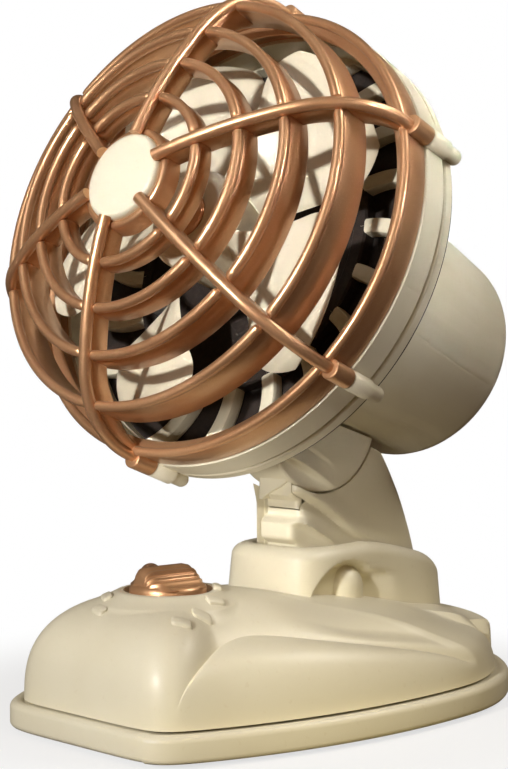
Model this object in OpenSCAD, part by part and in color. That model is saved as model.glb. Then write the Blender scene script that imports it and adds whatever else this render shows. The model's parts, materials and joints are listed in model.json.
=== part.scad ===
// Small desk fan fed from a USB socket: a domed grille head on a tilting neck,
// over a long rounded base with a speed knob on its hood.
// Millimetres, +Z up, front towards -Y, origin under the middle of the base on the desk.

/* [Base] */
// Length of the base, front to back
base_l = 119; // [112:1:130]
// Width of the base at its rear half circle
base_w = 87; // [82:1:94]
// Radius of the long side arcs that narrow the base towards the front
side_r = 145; // [120:5:200]
// Height of the base tray, feet not counted
tray_h = 5.7; // [5:0.1:8]
// Width of the ledge that shows round the upper shell
ledge_w = 3.2; // [2:0.1:5]
// Rise of the hood above the tray
hood_h = 22.2; // [20:0.2:25]
// Wall of the base mouldings
base_wall = 2.2; // [1.8:0.1:3]
// Rise of the side fenders above the tray
fender_h = 15.4; // [11:0.2:17]
// How far the fenders stand out from the hood's flank
fender_out = 6; // [4:0.2:8]
// Rise of the tail block above the tray
tail_h = 9.4; // [8:0.2:12]
// How far the non-slip pad stands below the tray
pad_proud = 0.8; // [0.5:0.1:1.5]

/* [Neck] */
// Height of the tilt pivot above the desk
pivot_z = 64.7; // [62:0.1:68]
// Place of the tilt pivot behind the middle of the base
pivot_y = 9.8; // [6:0.2:14]
// Width of the neck
neck_w = 15.4; // [14:0.2:20]
// Radius of the round lobe that turns in the neck's seat
lobe_r = 18.3; // [17:0.1:20]
// Radius of the tilt pin
pin_r = 2.5; // [2:0.1:3]
// Width of the cowl round the foot of the neck
cowl_w = 29; // [26:0.5:34]
// Length of that cowl
cowl_l = 54; // [52:1:58]

/* [Head] */
// Upward tilt of the head at rest
head_tilt = 20.6; // [16:0.1:24]
// Rise of the fan's axis above the tilt pivot
axis_rise = 26.3; // [25:0.1:28]
// Reach of the rim's plane in front of the tilt pivot
rim_reach = 41.7; // [40:0.1:46]
// Radius of the grille's rim bead
rim_r = 50; // [48:0.5:54]
// Height of the grille's dome in front of the rim
dome_h = 28; // [26:0.5:32]
// Radius of the shoulder where the dome turns into the rim
shoulder_r = 21.5; // [20:0.5:24]
// Number of grille spokes
spokes = 6; // [4:1:8]
// Turn of the first spoke away from upright
spoke_turn = 6.4; // [0:0.1:30]
// Radius of the round bead on rings and spokes
bead_r = 1.25; // [1.2:0.05:1.6]
// Thickness of the webs behind the beads
web_t = 1.8; // [1.4:0.1:2.2]
// Radius of the cap on the grille's hub
cap_r = 9.4; // [8:0.1:11]
// Depth of the bronze rim band
rim_band = 6.2; // [5.6:0.1:8]
// Depth of the pale ring behind it
ring_band = 6.4; // [5.6:0.1:8]
// Radius of the motor housing at its front
housing_r = 31; // [29:0.5:33]
// Radius of the motor housing at its rear
housing_end_r = 25.6; // [24:0.2:27]
// Length of the motor housing
housing_l = 68; // [65:1:74]
// Wall of the motor housing
housing_wall = 2.2; // [1.8:0.1:2.6]

/* [Fan and motor] */
// Number of fan blades
blades = 5; // [3:1:7]
// Radius of the blade tips
blade_r = 43; // [40:0.5:44]
// Radius of the fan's hub
fan_hub_r = 11; // [10:0.2:13]
// Radius of the motor shaft
shaft_r = 1.5; // [1:0.1:2]
// Radius of the motor can
motor_r = 12; // [11:0.2:13]
// Length of the motor can
motor_l = 30; // [26:1:34]
// Number of curved slats in the rear guard
slats = 20; // [14:1:24]

/* [Knob] */
// Place of the knob in front of the middle of the base
knob_y = 32.7; // [30:0.1:34]
// Radius of the knob's skirt
knob_r = 8.5; // [8:0.1:9]
// Height of the knob's skirt
knob_skirt_h = 5.4; // [4.5:0.1:6.5]
// Height of the knob's grip bar above the skirt
grip_h = 3; // [2:0.1:4]
// Turn of the grip bar at rest
grip_turn = -9.5; // [-20:0.5:20]
// Radius of the switch shaft
switch_shaft_r = 3; // [2.5:0.1:3.2]

/* [Fits] */
// Running clearance of a shaft in its bore
run = 0.04; // [0.02:0.01:0.08]
// Clearance of a pressed or seated piece
seat = 0.05; // [0.02:0.01:0.1]
// Gap between pieces that move past each other
gap = 0.4; // [0.3:0.05:0.6]

/* [Hidden] */
$fn = 64;

// Colours as seen
ivory = [0.90, 0.86, 0.76];
bronze = [0.72, 0.48, 0.32];
steel = [0.72, 0.73, 0.74];
dark = [0.16, 0.11, 0.09];

// A tiny overshoot for cuts
eps = 0.01;

// Base levels and plan
half_l = base_l / 2;
rear_r = base_w / 2;
rear_y = half_l - rear_r;
tray_z = pad_proud;
shell_z = tray_z + tray_h;
hood_y = -28;
corner_power = 14;
front_step = 0.7;
front_step_w = 19;
ring_n = 90;

// Radius of a circle's far side along direction u from point p
function reach(u, q, r) = u * q + sqrt((u * q) ^ 2 - q * q + r * r);

// Distance from point [0, cy] to the base's plan outline, drawn in by d, at angle a
function plan_r(a, d, cy) =
    let (u = [cos(a), sin(a)],
        side = reach(u, [-sign(u.x) * (side_r - rear_r), rear_y - cy], side_r - d),
        rear = reach(u, [0, rear_y - cy], rear_r - d),
        flank = (side * u.y + cy < rear_y) ? side : rear,
        front = u.y < -eps ? (half_l - d + cy) / -u.y : 10 * half_l)
    (flank ^ -corner_power + front ^ -corner_power) ^ (-1 / corner_power);

function plan_ring(d, z, step = 0) = [for (i = [0:ring_n - 1])
    let (a = 360 * i / ring_n,
        r = plan_r(a, d, hood_y),
        cut = (sin(a) < 0 && abs(r * cos(a)) < front_step_w) ? step : 0)
    [(r - cut) * cos(a), (r - cut) * sin(a) + hood_y, z]];

// Closed skin through rings of equal point counts
module skin(rings) {
    n = len(rings[0]);
    m = len(rings);
    points = [for (r = rings) each r];
    sides = [for (j = [0:m - 2]) for (i = [0:n - 1])
        let (a = j * n + i, b = j * n + (i + 1) % n, c = a + n, d = b + n)
        each [[a, c, d], [a, d, b]]];
    polyhedron(points, concat(sides, [[for (i = [0:n - 1]) i]],
        [[for (i = [n - 1:-1:0]) (m - 1) * n + i]]), convexity = 8);
}

// Hood: a dome whose section is blunt in front and round behind
function hood_power(a) = 2.15 + 0.95 * max(0, -sin(a)) ^ 2;
function fender_part(a) = let (s = a > 270 ? a - 360 : a < 90 ? a : 180 - a)
    (s + fender_front) / (fender_front + fender_rear);
fender_front = 48;
fender_rear = 52;
tail_half = 22;
function is_fender(a) = let (v = fender_part(a)) v > 0 && v < 1;
function is_tail(a) = abs(a - 90) < tail_half;
function fender_swell(a) = let (v = fender_part(a)) v > 0 && v < 1 ? (4 * v * (1 - v)) ^ 0.5 : 0;
function fender_crest(a) = let (v = fender_part(a))
    fender_h * (4 * v * (1 - v)) ^ 0.35 * (1.08 - 0.25 * v);
function hood_foot(a) = plan_r(a, ledge_w + fender_out * fender_swell(a), hood_y);

// Rise of the hood above its foot at share s of its plan radius, and the reverse
function hood_rise(a, s) = hood_h * max(0, 1 - s ^ hood_power(a)) ^ (1 / hood_power(a));
function hood_share(a, h) = (1 - (h / hood_h) ^ hood_power(a)) ^ (1 / hood_power(a));

// Height of the hood's top at a plan point
function hood_z(x, y) = let (a = atan2(y - hood_y, x), r = norm([x, y - hood_y]))
    shell_z + hood_rise(a, min(1, r / hood_foot(a < 0 ? a + 360 : a)));

// Skirt below the hood: fender, tail block or the hood's own foot
least_crest = 4.6;
function skirt_crest(a) = is_tail(a) ? tail_h
    : is_fender(a) ? max(least_crest, fender_crest(a)) : least_crest;
function skirt_power(a) = is_tail(a) ? 7 : 2.2;
function skirt_point(a, t) =
    let (crest = skirt_crest(a),
        foot = plan_r(a, ledge_w, hood_y),
        top = hood_foot(a) * hood_share(a, crest),
        q = skirt_power(a),
        rise = crest * sin(90 * t) ^ (2 / q),
        swell = top + (foot - top) * cos(90 * t) ^ (2 / q),
        plain = hood_foot(a) * hood_share(a, rise))
    [is_tail(a) || is_fender(a) ? swell : plain, rise];
function hood_point(a, t) =
    let (p = hood_power(a),
        start = asin((skirt_crest(a) / hood_h) ^ (p / 2)),
        f = start + (86 - start) * t)
    [hood_foot(a) * cos(f) ^ (2 / p), hood_h * sin(f) ^ (2 / p)];

skirt_n = 6;
dome_n = 8;
function shell_point(a, j) = j <= skirt_n ? skirt_point(a, j / skirt_n)
    : hood_point(a, (j - skirt_n) / dome_n);
function shell_ring(j, inset = 0, drop = 0) = [for (i = [0:ring_n - 1])
    let (a = 360 * i / ring_n, p = shell_point(a, j), r = p[0] - inset)
    [r * cos(a), hood_y + r * sin(a), shell_z + p[1] - drop]];

// Screw pillars that join shell and tray
pillars = [[-15, -42], [15, -42], [-27, 26], [27, 26]];
pillar_r = 3.4;
// Top of a pillar, inside the roof where the roof is lowest over it
function pillar_top(p) =
    let (out = p - [0, hood_y],
        q = [0, hood_y] + out * (1 + 1.15 * pillar_r / norm(out)))
    hood_z(q.x, q.y) - base_wall * 0.5;
screw_r = 1.4;
screw_head_r = 2.6;
screw_head_h = 1.8;
lip_drop = 2.4;
lip_in = ledge_w + base_wall + 0.3;
tray_floor = 2.4;

// Knob well and switch
well_r = knob_r + 0.8;
well_z = shell_z + 17.6;
well_floor = 2;
collar_top = shell_z + hood_h + 0.1;
collar_foot_r = well_r + 7.7;
knob_z = well_z + 0.8;
switch_w = 14;
switch_h = 9;
bush_r = switch_shaft_r + 1;
nut_r = bush_r + 2.2;
nut_h = 2;
shaft_up = 3.6;

// USB socket in the tail
usb_w = 9;
usb_h = 3.3;
usb_l = 7.4;
usb_skin = 0.35;
usb_z = shell_z + 4.2;
usb_y = half_l - ledge_w - 0.4;
board_w = 21;
board_l = 26;
board_back = 5.6;
board_t = 1.6;
board_z = usb_z - usb_h / 2 - board_t - seat;
post_r = 2;

// Neck cowl, in the neck's own lengthwise place
cowl_y0 = -4;
cowl_y1 = cowl_y0 + cowl_l;
cowl_mid = (cowl_y0 + cowl_y1) / 2;
cowl_top = 35;
cowl_floor = 30.2;
floor_slope = 5.5;
cowl_lift = 0.4;
arch_r = 13.5;
arch_y = 10.5;
arch_z = 20.5;
arch_depth = 1.7;
pill_r = 5.9;
pill_z = 24.8;
pill_in = cowl_w / 2 - arch_depth - 0.5;

// Neck bracket
seat_r = lobe_r + gap;
eye_r = 7;
tongue_t = 4.4;
tongue_turn = 15;
washer_t = 0.8;
slot_w = tongue_t + 2 * washer_t + 0.2;
rear_edge_r = 83.4;
rear_edge_y = pivot_y - 44.5;
rear_edge_z = 3.1;
neck_front = pivot_y - 7.3;
function floor_z(y) = cowl_floor - tan(floor_slope) * (y - neck_front);
nose_w = 10;
channel_r = 23.1;
pleat = 2.2;
groove_w = 2.6;
groove_x = -5.3;
groove_deep = 2.4;
neck_screw_y = [8, 36];

// Travel of the head up from rest
tilt_up = 4;

// Head frame: origin in the rim's plane on the fan's axis, z forward, y up
module at_head(more = 0) {
    translate([0, pivot_y, pivot_z]) rotate([90 - head_tilt - more, 0, 0])
        translate([0, axis_rise, rim_reach]) children();
}
// Tilt frame: along X through the pivot, 2D x towards the back and 2D y up
module at_pivot(w) {
    translate([-w / 2, pivot_y, pivot_z]) rotate([90, 0, 90]) linear_extrude(w) children();
}
// Cylinder along X through a point of the middle plane
module across(w, r) {
    rotate([0, 90, 0]) cylinder(h = w, r = r, center = true);
}

// Grille dome: a flat crown arc that runs into the shoulder arc
shoulder_x = rim_r + 0.6 - shoulder_r;
crown_r = (shoulder_x ^ 2 + dome_h ^ 2 - shoulder_r ^ 2) / (2 * (dome_h - shoulder_r));
crown_z = dome_h - crown_r;
join_a = atan2(-crown_z, shoulder_x);
join_x = shoulder_x + shoulder_r * cos(join_a);
function dome_z(r) = r < join_x ? crown_z + sqrt(crown_r ^ 2 - r ^ 2)
    : sqrt(shoulder_r ^ 2 - (r - shoulder_x) ^ 2);
ring_count = 4;
ring_first = cap_r + 8.7;
ring_last = rim_r - 5.5;
function ring_r(k) = ring_first + (ring_last - ring_first) * k / (ring_count - 1);
function ring_deep(k) = 4.4 + 1.3 * k;
spoke_deep = 5.4;
spoke_bead_r = bead_r + 0.22;
rim_out = rim_r + 1.4;
rim_in = rim_r - 3.4;
rim_wall = 2.2;
collar_r = 3.1;
collar_at = rim_out + 0.9;
collar_z = -2.2;
hub_out = cap_r + 1.6;
hub_back = dome_h - 6.4;
cap_seat_z = dome_h - 3;
cap_pin_r = 2;
cap_edge = 1.4;
function spoke_a(k) = 90 - spoke_turn + 360 * k / spokes;

// Levels behind the rim, going back
ring_z0 = -rim_band - seat;
ring_z1 = ring_z0 - ring_band;
seam = 0.7;
lip_h = 2.5;
lip_z0 = ring_z1 - seam;
lip_z1 = lip_z0 - lip_h;
guard_t = 3.2;
guard_in = 4.6;
mesh_t = 0.4;
clip_r = 1;
clip_tip_r = 1.7;
clip_l = 4.8;
clip_in = 2.6;

// Motor housing
housing_z = lip_z1 - seat;
housing_edge = 9;
boss_at = housing_r - 6.5;
boss_l = 12;
knuckle_up = 9.3;
knuckle_half = 10;
knuckle_screw_at = 13.6;
function housing_r_at(d) = housing_r + (housing_end_r - housing_r) * d / housing_l;

// Motor and fan
motor_z = lip_z1 - seat;
motor_wall = 1;
motor_boss_r = 4;
motor_boss_h = 2.4;
bush_l = 4;
armature_r = 8;
armature_l = 16;
magnet_t = 2.2;
fan_back = lip_z1 + guard_t + 5;
fan_front = fan_back + 15.4;
fan_wall = 1.8;
blade_t = 1.5;
shaft_front = fan_front - 3.2;
shaft_back = motor_z - motor_l + 1.2;

// Base tray with its rounded lip, open upwards
module base_tray() {
    color(ivory)
    difference() {
        union() {
            skin([
                plan_ring(1.2, tray_z, front_step),
                plan_ring(0.2, tray_z + 1, front_step),
                plan_ring(0, shell_z - 2.2, front_step),
                plan_ring(0.6, shell_z - 0.9, front_step),
                plan_ring(1.8, shell_z - 0.1, front_step),
                plan_ring(ledge_w - 0.4, shell_z),
                plan_ring(ledge_w + base_wall, shell_z),
                plan_ring(ledge_w + base_wall, tray_z + tray_floor)]);
            for (p = pillars) translate([p.x, p.y, tray_z + 1])
                cylinder(h = boss_top - 1, r = pillar_r + 0.6);
        }
        translate([0, 0, tray_z - eps]) linear_extrude(pad_deep) pad_plan(0);
        for (p = pillars) translate([p.x, p.y, 0]) {
            cylinder(h = 2 * shell_z, r = screw_r + 0.3);
            cylinder(h = tray_z + pad_deep + screw_head_h + 0.05, r = screw_head_r + 0.3);
        }
    }
}
pad_deep = 0.7;
boss_top = 4.5;
pad_in = 7;
// Plan of the pad: the base's own outline drawn in
module pad_plan(d) {
    polygon([for (p = plan_ring(pad_in + d, 0)) [p.x, p.y]]);
}

// One-piece non-slip pad stuck in the tray's recess
module foot_pad() {
    color(dark) linear_extrude(tray_z + pad_deep - seat) pad_plan(0.3);
}

// Upper shell of the base: hood, side fenders and tail block in one moulding
module base_shell() {
    color(ivory)
    difference() {
        union() {
            skin([
                shell_ring(skirt_n + dome_n, base_wall, base_wall),
                shell_ring(skirt_n + dome_n - 2, base_wall, base_wall),
                shell_ring(skirt_n + dome_n - 4, base_wall, base_wall),
                shell_ring(skirt_n + 2, base_wall, base_wall * 0.9),
                shell_ring(skirt_n, base_wall * 1.1, base_wall * 0.7),
                shell_ring(2, base_wall, 0.2),
                plan_ring(lip_in + base_wall * 0.7, shell_z),
                plan_ring(lip_in + base_wall * 0.7, shell_z - lip_drop),
                plan_ring(lip_in, shell_z - lip_drop),
                plan_ring(lip_in, shell_z + seat),
                for (j = [0:skirt_n + dome_n]) shell_ring(j, 0, j == 0 ? -seat : 0)]);
            translate([0, -knob_y, well_z - well_floor])
                cylinder(h = well_floor, r = well_r + base_wall);
            translate([0, -knob_y, well_z - eps])
                cylinder(h = collar_top - well_z, r1 = collar_foot_r, r2 = well_r + 0.9);
            for (p = pillars) translate([p.x, p.y, tray_z + boss_top + seat])
                cylinder(h = pillar_top(p) - tray_z - boss_top - seat, r = pillar_r);
        }
        translate([0, -knob_y, well_z]) cylinder(h = hood_h, r = well_r);
        translate([0, -knob_y, 0]) cylinder(h = 2 * hood_h, r = bush_r + 0.1);
        for (p = pillars) translate([p.x, p.y, 0]) cylinder(h = tray_z + 12, r = screw_r);
        for (y = neck_screw_y) translate([0, y, 0]) cylinder(h = 2 * hood_h, r = screw_r + 0.3);
        translate([0, half_l, usb_z]) cube([usb_w + 0.8, 20, usb_h + 0.8], center = true);
    }
}

// Self-tapping screws that hold tray and shell together
module base_screws() {
    color(steel) for (p = pillars) translate([p.x, p.y, tray_z + pad_deep]) {
        cylinder(h = screw_head_h, r = screw_head_r);
        translate([0, 0, screw_head_h - eps]) cylinder(h = 7.5, r = screw_r - 0.1);
    }
}

// Circuit board on posts behind the switch
module circuit_board() {
    color([0.12, 0.35, 0.2]) {
        translate([-board_w / 2, usb_y - board_l - board_back, board_z]) cube([board_w, board_l, board_t]);
        for (x = [-1, 1], y = [0.12, 0.72])
            translate([x * (board_w / 2 - 3), usb_y - board_back - board_l * (1 - y),
                tray_z + tray_floor + seat])
                cylinder(h = board_z - tray_z - tray_floor, r = post_r);
        translate([-9, usb_y - board_l + 1, board_z + board_t - eps]) cube([7, 5, 1.2]);
        translate([5, usb_y - board_l + 4, board_z + board_t - eps]) cylinder(h = 6, r = 3);
    }
}

// Steel shell of the USB inlet
module usb_socket() {
    color(steel) translate([0, usb_y, usb_z]) rotate([90, 0, 0]) linear_extrude(usb_l) difference() {
        usb_plan(0);
        usb_plan(usb_skin);
    }
}
module usb_plan(d) {
    h = usb_h / 2 - d;
    square([usb_w - usb_h, 2 * h], center = true);
    for (s = [-1, 1]) translate([s * (usb_w - usb_h) / 2, 0]) circle(r = h);
}
// Contact tongue and rear block inside the inlet
module usb_tongue() {
    color(dark) {
        translate([-3.3, usb_y - usb_l + 0.8, usb_z - 0.35]) cube([6.6, usb_l - 1.8, 0.7]);
        translate([0, usb_y - usb_l + 0.9, usb_z]) rotate([90, 0, 0])
            linear_extrude(0.9) usb_plan(usb_skin + 0.02);
    }
}

// Rotary speed switch under the knob well
module speed_switch() {
    color([0.25, 0.25, 0.27]) translate([0, -knob_y, well_z - well_floor - seat]) difference() {
        union() {
            translate([-switch_w / 2, -switch_w / 2, -switch_h]) cube([switch_w, switch_w, switch_h]);
            translate([0, 0, -eps]) cylinder(h = well_floor + nut_h + 0.4, r = bush_r);
        }
        translate([0, 0, -switch_h + 2]) cylinder(h = 3 * switch_h, r = switch_shaft_r + run);
    }
}
// Hexagon nut that holds the switch in the well
module switch_nut() {
    color(steel) translate([0, -knob_y, well_z + seat]) difference() {
        cylinder(h = nut_h - 0.2, r = nut_r, $fn = 6);
        translate([0, 0, -eps]) cylinder(h = nut_h, r = bush_r + seat);
    }
}

// Cowl on the hood round the foot of the neck
function cowl_ring(d, z0, lift) = [for (i = [0:ring_n - 1])
    let (a = 360 * i / ring_n,
        p = cowl_point(a, d),
        z = lift ? cowl_height(p.y) - z0 : hood_z(p.x, p.y) + z0)
    [p.x, p.y, z]];
// Plan of the cowl: a rectangle with round corners, as a high-power oval
function cowl_point(a, d) =
    let (w = cowl_w / 2 - d, l = cowl_l / 2 - d, q = 2 / 5, e = eased(a))
    [w * sign(cos(e)) * abs(cos(e)) ^ q, cowl_mid + l * sign(sin(e)) * abs(sin(e)) ^ q];
// Angle eased within its quarter turn, so that the outline's points stay evenly apart
function eased(a) = let (k = floor(a / 90), t = a / 90 - k) 90 * (k + 3 * t ^ 2 - 2 * t ^ 3);
// The cowl's top edge: level in front, falling and then rounding down behind
function cowl_height(y) = let (v = (y - cowl_y0) / cowl_l)
    v < 0.42 ? cowl_top - 0.2 : cowl_top - 0.2 - 15 * (v - 0.42) ^ 1.3 - 60 * max(0, v - 0.8) ^ 2;
function cowl_under(s) = [for (i = [0:ring_n - 1])
    let (p = cowl_point(360 * i / ring_n, 0), x = p.x * s, y = cowl_mid + (p.y - cowl_mid) * s)
    [x, y, hood_z(x, y) + cowl_lift]];
module neck_cowl() {
    hole_w = neck_w / 2 + 1.2;
    color(ivory) difference() {
        union() {
            difference() {
                skin([for (s = [0.06, 0.2, 0.35, 0.5, 0.65, 0.8, 0.92]) cowl_under(s),
                    cowl_ring(0, cowl_lift, false),
                    cowl_ring(0.5, 5.6, true),
                    cowl_ring(1.3, 1.6, true),
                    cowl_ring(2.4, 0.3, true),
                    cowl_ring(3.4, 0, true),
                    cowl_ring(6.2, 1.2, true)]);
                for (s = [-1, 1]) translate([s * (cowl_w / 2 + 5 - arch_depth), arch_y, arch_z])
                    across(10, arch_r);
            }
            for (s = [-1, 1]) mirror([s < 0 ? 1 : 0, 0, 0]) intersection() {
                translate([cowl_w / 2 - pill_r + 0.6, arch_y + 1, 0]) {
                    translate([0, 0, arch_z + 3.2]) cylinder(h = pill_z - arch_z - 3.2, r = pill_r - 0.08);
                    translate([0, 0, pill_z]) sphere(r = pill_r);
                }
                translate([pill_in, cowl_y0, hood_z(pill_in, arch_y - pill_r) + cowl_lift])
                    cube([cowl_w, cowl_l, cowl_top]);
            }
        }
        translate([-hole_w, neck_front - 1.4, floor_z(neck_front - 1.4)]) rotate([-floor_slope, 0, 0])
            cube([2 * hole_w, cowl_y1 - neck_front - 3, 2 * cowl_top]);
        for (y = neck_screw_y) translate([0, y, 0]) cylinder(h = 3 * cowl_top, r = screw_r + 0.3);
    }
}

// Neck bracket: pleated front, round seat for the lobe and a tongue with the pivot eye
module neck_outline() {
    foot = cowl_floor + seat - pivot_z;
    f = neck_front - pivot_y;
    intersection() {
        polygon([[f, foot], [f, foot + 5], [f - pleat, foot + 6.4], [f - pleat, foot + 9.8],
            [f, foot + 11], [f, foot + 14.6], [f - pleat, foot + 15.8], [f - pleat, -10],
            [17.2, -10], [21, -6.6], [45, -6.6], [45, foot - tan(floor_slope) * (45 - f)]]);
        translate([rear_edge_y - pivot_y, rear_edge_z - pivot_z]) circle(r = rear_edge_r, $fn = 128);
    }
}
module neck_bracket() {
    color(ivory) difference() {
        union() {
            difference() {
                at_pivot(neck_w) difference() {
                    neck_outline();
                    circle(r = seat_r);
                }
                at_pivot(nose_w + 0.8) intersection() {
                    circle(r = channel_r);
                    polygon([[0, 0], [-30, -24], [-30, -40], [-1.2, -40]]);
                }
                at_head(tilt_up) translate([0, 0, housing_z - housing_l - 5]) cylinder(h = housing_l + 5,
                    r1 = housing_r_at(housing_l + 5) + 2 * gap, r2 = housing_r + 2 * gap);
                for (s = [-1, 1], g = [0, 1])
                    translate([s * neck_w / 2, neck_front + 1, cowl_floor + 6.2 + 9.4 * g])
                        rotate([-36, 0, s * 4]) translate([-0.8, -6, -1.5]) cube([1.6, 22, 3]);
            }
            at_pivot(tongue_t) {
                circle(r = eye_r);
                rotate(tongue_turn) translate([-5, -seat_r - 4]) square([10, seat_r + 4]);
            }
        }
        translate([0, pivot_y, pivot_z]) across(2 * neck_w, pin_r + run);
        translate([groove_x - groove_w / 2, neck_front - pleat - 1, cowl_floor - 1])
            cube([groove_w, 1 + groove_deep, 40]);
        for (y = neck_screw_y) translate([0, y, floor_z(y) - 1]) cylinder(h = 10, r = screw_r);
    }
}
// Screws from inside the hood into the neck's foot
module neck_screws() {
    color(steel) for (y = neck_screw_y) {
        z = hood_z(0, y + screw_head_r + base_wall) - base_wall - 0.9;
        translate([0, y, z - screw_head_h]) cylinder(h = screw_head_h, r = screw_head_r);
        translate([0, y, z - eps]) cylinder(h = floor_z(y) + 7 - z, r = screw_r - 0.1);
    }
}

// Speed knob: a turned skirt with a ribbed grip bar
module control_knob() {
    color(bronze) translate([0, -knob_y, knob_z]) difference() {
        union() {
            rotate_extrude() polygon([[0, 0], [knob_r, 0], [knob_r, 1.6], [knob_r - 1.5, knob_skirt_h - 0.8],
                [knob_r - 2.4, knob_skirt_h], [0, knob_skirt_h]]);
            rotate([0, 0, grip_turn]) intersection() {
                translate([-grip_w / 2, -knob_r, knob_skirt_h - 1]) difference() {
                    cube([grip_w, 2 * knob_r, grip_h + 1]);
                    for (x = [0.2, 0.5, 0.8]) translate([grip_w * x, -1, grip_h + 1.4])
                        rotate([-90, 0, 0]) cylinder(h = 4 * knob_r, r = 0.8);
                }
                cylinder(h = 4 * knob_skirt_h, r = knob_r - 0.9);
            }
        }
        translate([0, 0, -eps]) cylinder(h = nut_h + 0.6, r = nut_r + 0.5);
        cylinder(h = nut_h + shaft_up, r = switch_shaft_r + 0.02);
    }
}
grip_w = 7.4;
// Shaft of the speed switch, pressed into the knob
module switch_shaft() {
    z0 = well_z - well_floor - switch_h + 2.4;
    color(steel) translate([0, -knob_y, z0])
        cylinder(h = knob_z + nut_h + shaft_up - z0 - 0.2, r = switch_shaft_r);
}

// Round lobe under the motor housing, with a stop nose and a slot for the tongue
module head_knuckle() {
    color(ivory) difference() {
        union() {
            difference() {
                union() {
                    at_pivot(neck_w) circle(r = lobe_r);
                    at_pivot(nose_w)
                        polygon([[-12.3, -8], [-12.3, -18], [-11, -19.4], [-6, -16.5], [-6, -8]]);
                }
                at_head() translate([0, 0, housing_z - housing_l]) cylinder(h = housing_l + 10,
                    r1 = housing_end_r + seat, r2 = housing_r_at(-10) + seat);
            }
            at_head() translate([-neck_w / 2, -axis_rise - 3, -rim_reach - knuckle_half])
                cube([neck_w, knuckle_up + 3, 2 * knuckle_half]);
        }
        at_pivot(slot_w) {
            circle(r = eye_r + gap);
            polygon([[-6, 3], [-9.4, -23], [-4, -30], [20, -30], [16, -14], [6, 3]]);
        }
        translate([0, pivot_y, pivot_z]) across(2 * neck_w, pin_r + 0.02);
        for (s = [-1, 1]) translate([s * neck_w / 2, pivot_y, pivot_z]) across(3, pin_head_r + 0.2);
        at_head() for (s = [-1, 1]) translate([0, -knuckle_screw_top(s) - knuckle_screw_l - gap,
            -rim_reach + s * knuckle_screw_at]) rotate([-90, 0, 0])
                cylinder(h = 2 * knuckle_screw_l, r = screw_r);
    }
}
pin_head_r = 4;
knuckle_screw_l = 8;
function knuckle_screw_top(s) =
    housing_r_at(rim_reach - s * knuckle_screw_at + housing_z) - housing_wall - 0.7;
// Pin of the tilt joint with a flat head at each end
module tilt_pin() {
    color(steel) translate([0, pivot_y, pivot_z]) {
        across(neck_w - 2.8, pin_r);
        for (s = [-1, 1]) translate([s * (neck_w / 2 - 0.75), 0, 0]) across(1.4, pin_head_r);
    }
}
// Friction washers between tongue and lobe
module friction_washers() {
    color(dark) for (s = [-1, 1]) translate([s * (tongue_t + washer_t + 0.1) / 2, pivot_y, pivot_z])
        difference() {
            across(washer_t, eye_r - 1);
            across(2 * washer_t, pin_r + seat);
        }
}
// Screws from inside the motor housing into the lobe
module knuckle_screws() {
    color(steel) at_head() for (s = [-1, 1]) translate([0, 0, -rim_reach + s * knuckle_screw_at])
        rotate([90, 0, 0]) {
            top = knuckle_screw_top(s);
            translate([0, 0, top - screw_head_h]) cylinder(h = screw_head_h, r = screw_head_r);
            translate([0, 0, top - eps]) cylinder(h = knuckle_screw_l, r = screw_r - 0.1);
        }
}

// Motor housing: tapered can with a round rear edge and vent slots
module motor_housing() {
    color(ivory) at_head() difference() {
        union() {
            translate([0, 0, housing_z - housing_l]) difference() {
                rotate_extrude() housing_half(0);
                rotate_extrude() housing_half(housing_wall);
            }
            for (k = [0:2]) rotate(120 * k + 90) translate([boss_at, 0, housing_z - boss_l])
                difference() {
                    union() {
                        cylinder(h = boss_l - seat, r = 3);
                        translate([0, -1, 0]) cube([5, 2, boss_l - 1]);
                    }
                    translate([0, 0, -eps]) cylinder(h = 2 * boss_l, r = screw_r);
                }
        }
        translate([-neck_w / 2 - 0.15, -2 * axis_rise, -rim_reach - knuckle_half - 0.15])
            cube([neck_w + 0.3, axis_rise + knuckle_up + 0.15, 2 * knuckle_half + 0.3]);
        for (s = [-1, 1]) translate([0, -axis_rise - 10, -rim_reach + s * knuckle_screw_at])
            rotate([-90, 0, 0]) cylinder(h = 20, r = screw_r + 0.3);
        for (k = [0:5]) rotate(60 * k) translate([housing_end_r * 0.36, -1, housing_z - housing_l - 1])
            cube([housing_end_r * 0.3, 2, housing_wall + 2]);
    }
}
// Half section of the housing, drawn in by d, with z from its rear
module housing_half(d) {
    e = housing_edge - d;
    top = housing_l + (d > 0 ? 5 : 0);
    slope = (housing_r - housing_end_r) / housing_l;
    polygon([[0, d], [housing_end_r - d - e, d],
        for (k = [0:10])
            [housing_end_r - d - e + (e + slope * housing_edge) * sin(9 * k), housing_edge - e * cos(9 * k)],
        [housing_r - d + slope * (top - housing_l), top], [0, top]]);
}
// Screws through the guard's hub into the housing's bosses
module housing_screws() {
    color(steel) at_head() for (k = [0:2]) rotate(120 * k + 90) translate([boss_at, 0, lip_z1 + guard_t]) {
        cylinder(h = screw_head_h, r = screw_head_r);
        translate([0, 0, -guard_t - 7]) cylinder(h = guard_t + 7 + eps, r = screw_r - 0.1);
    }
}

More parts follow.
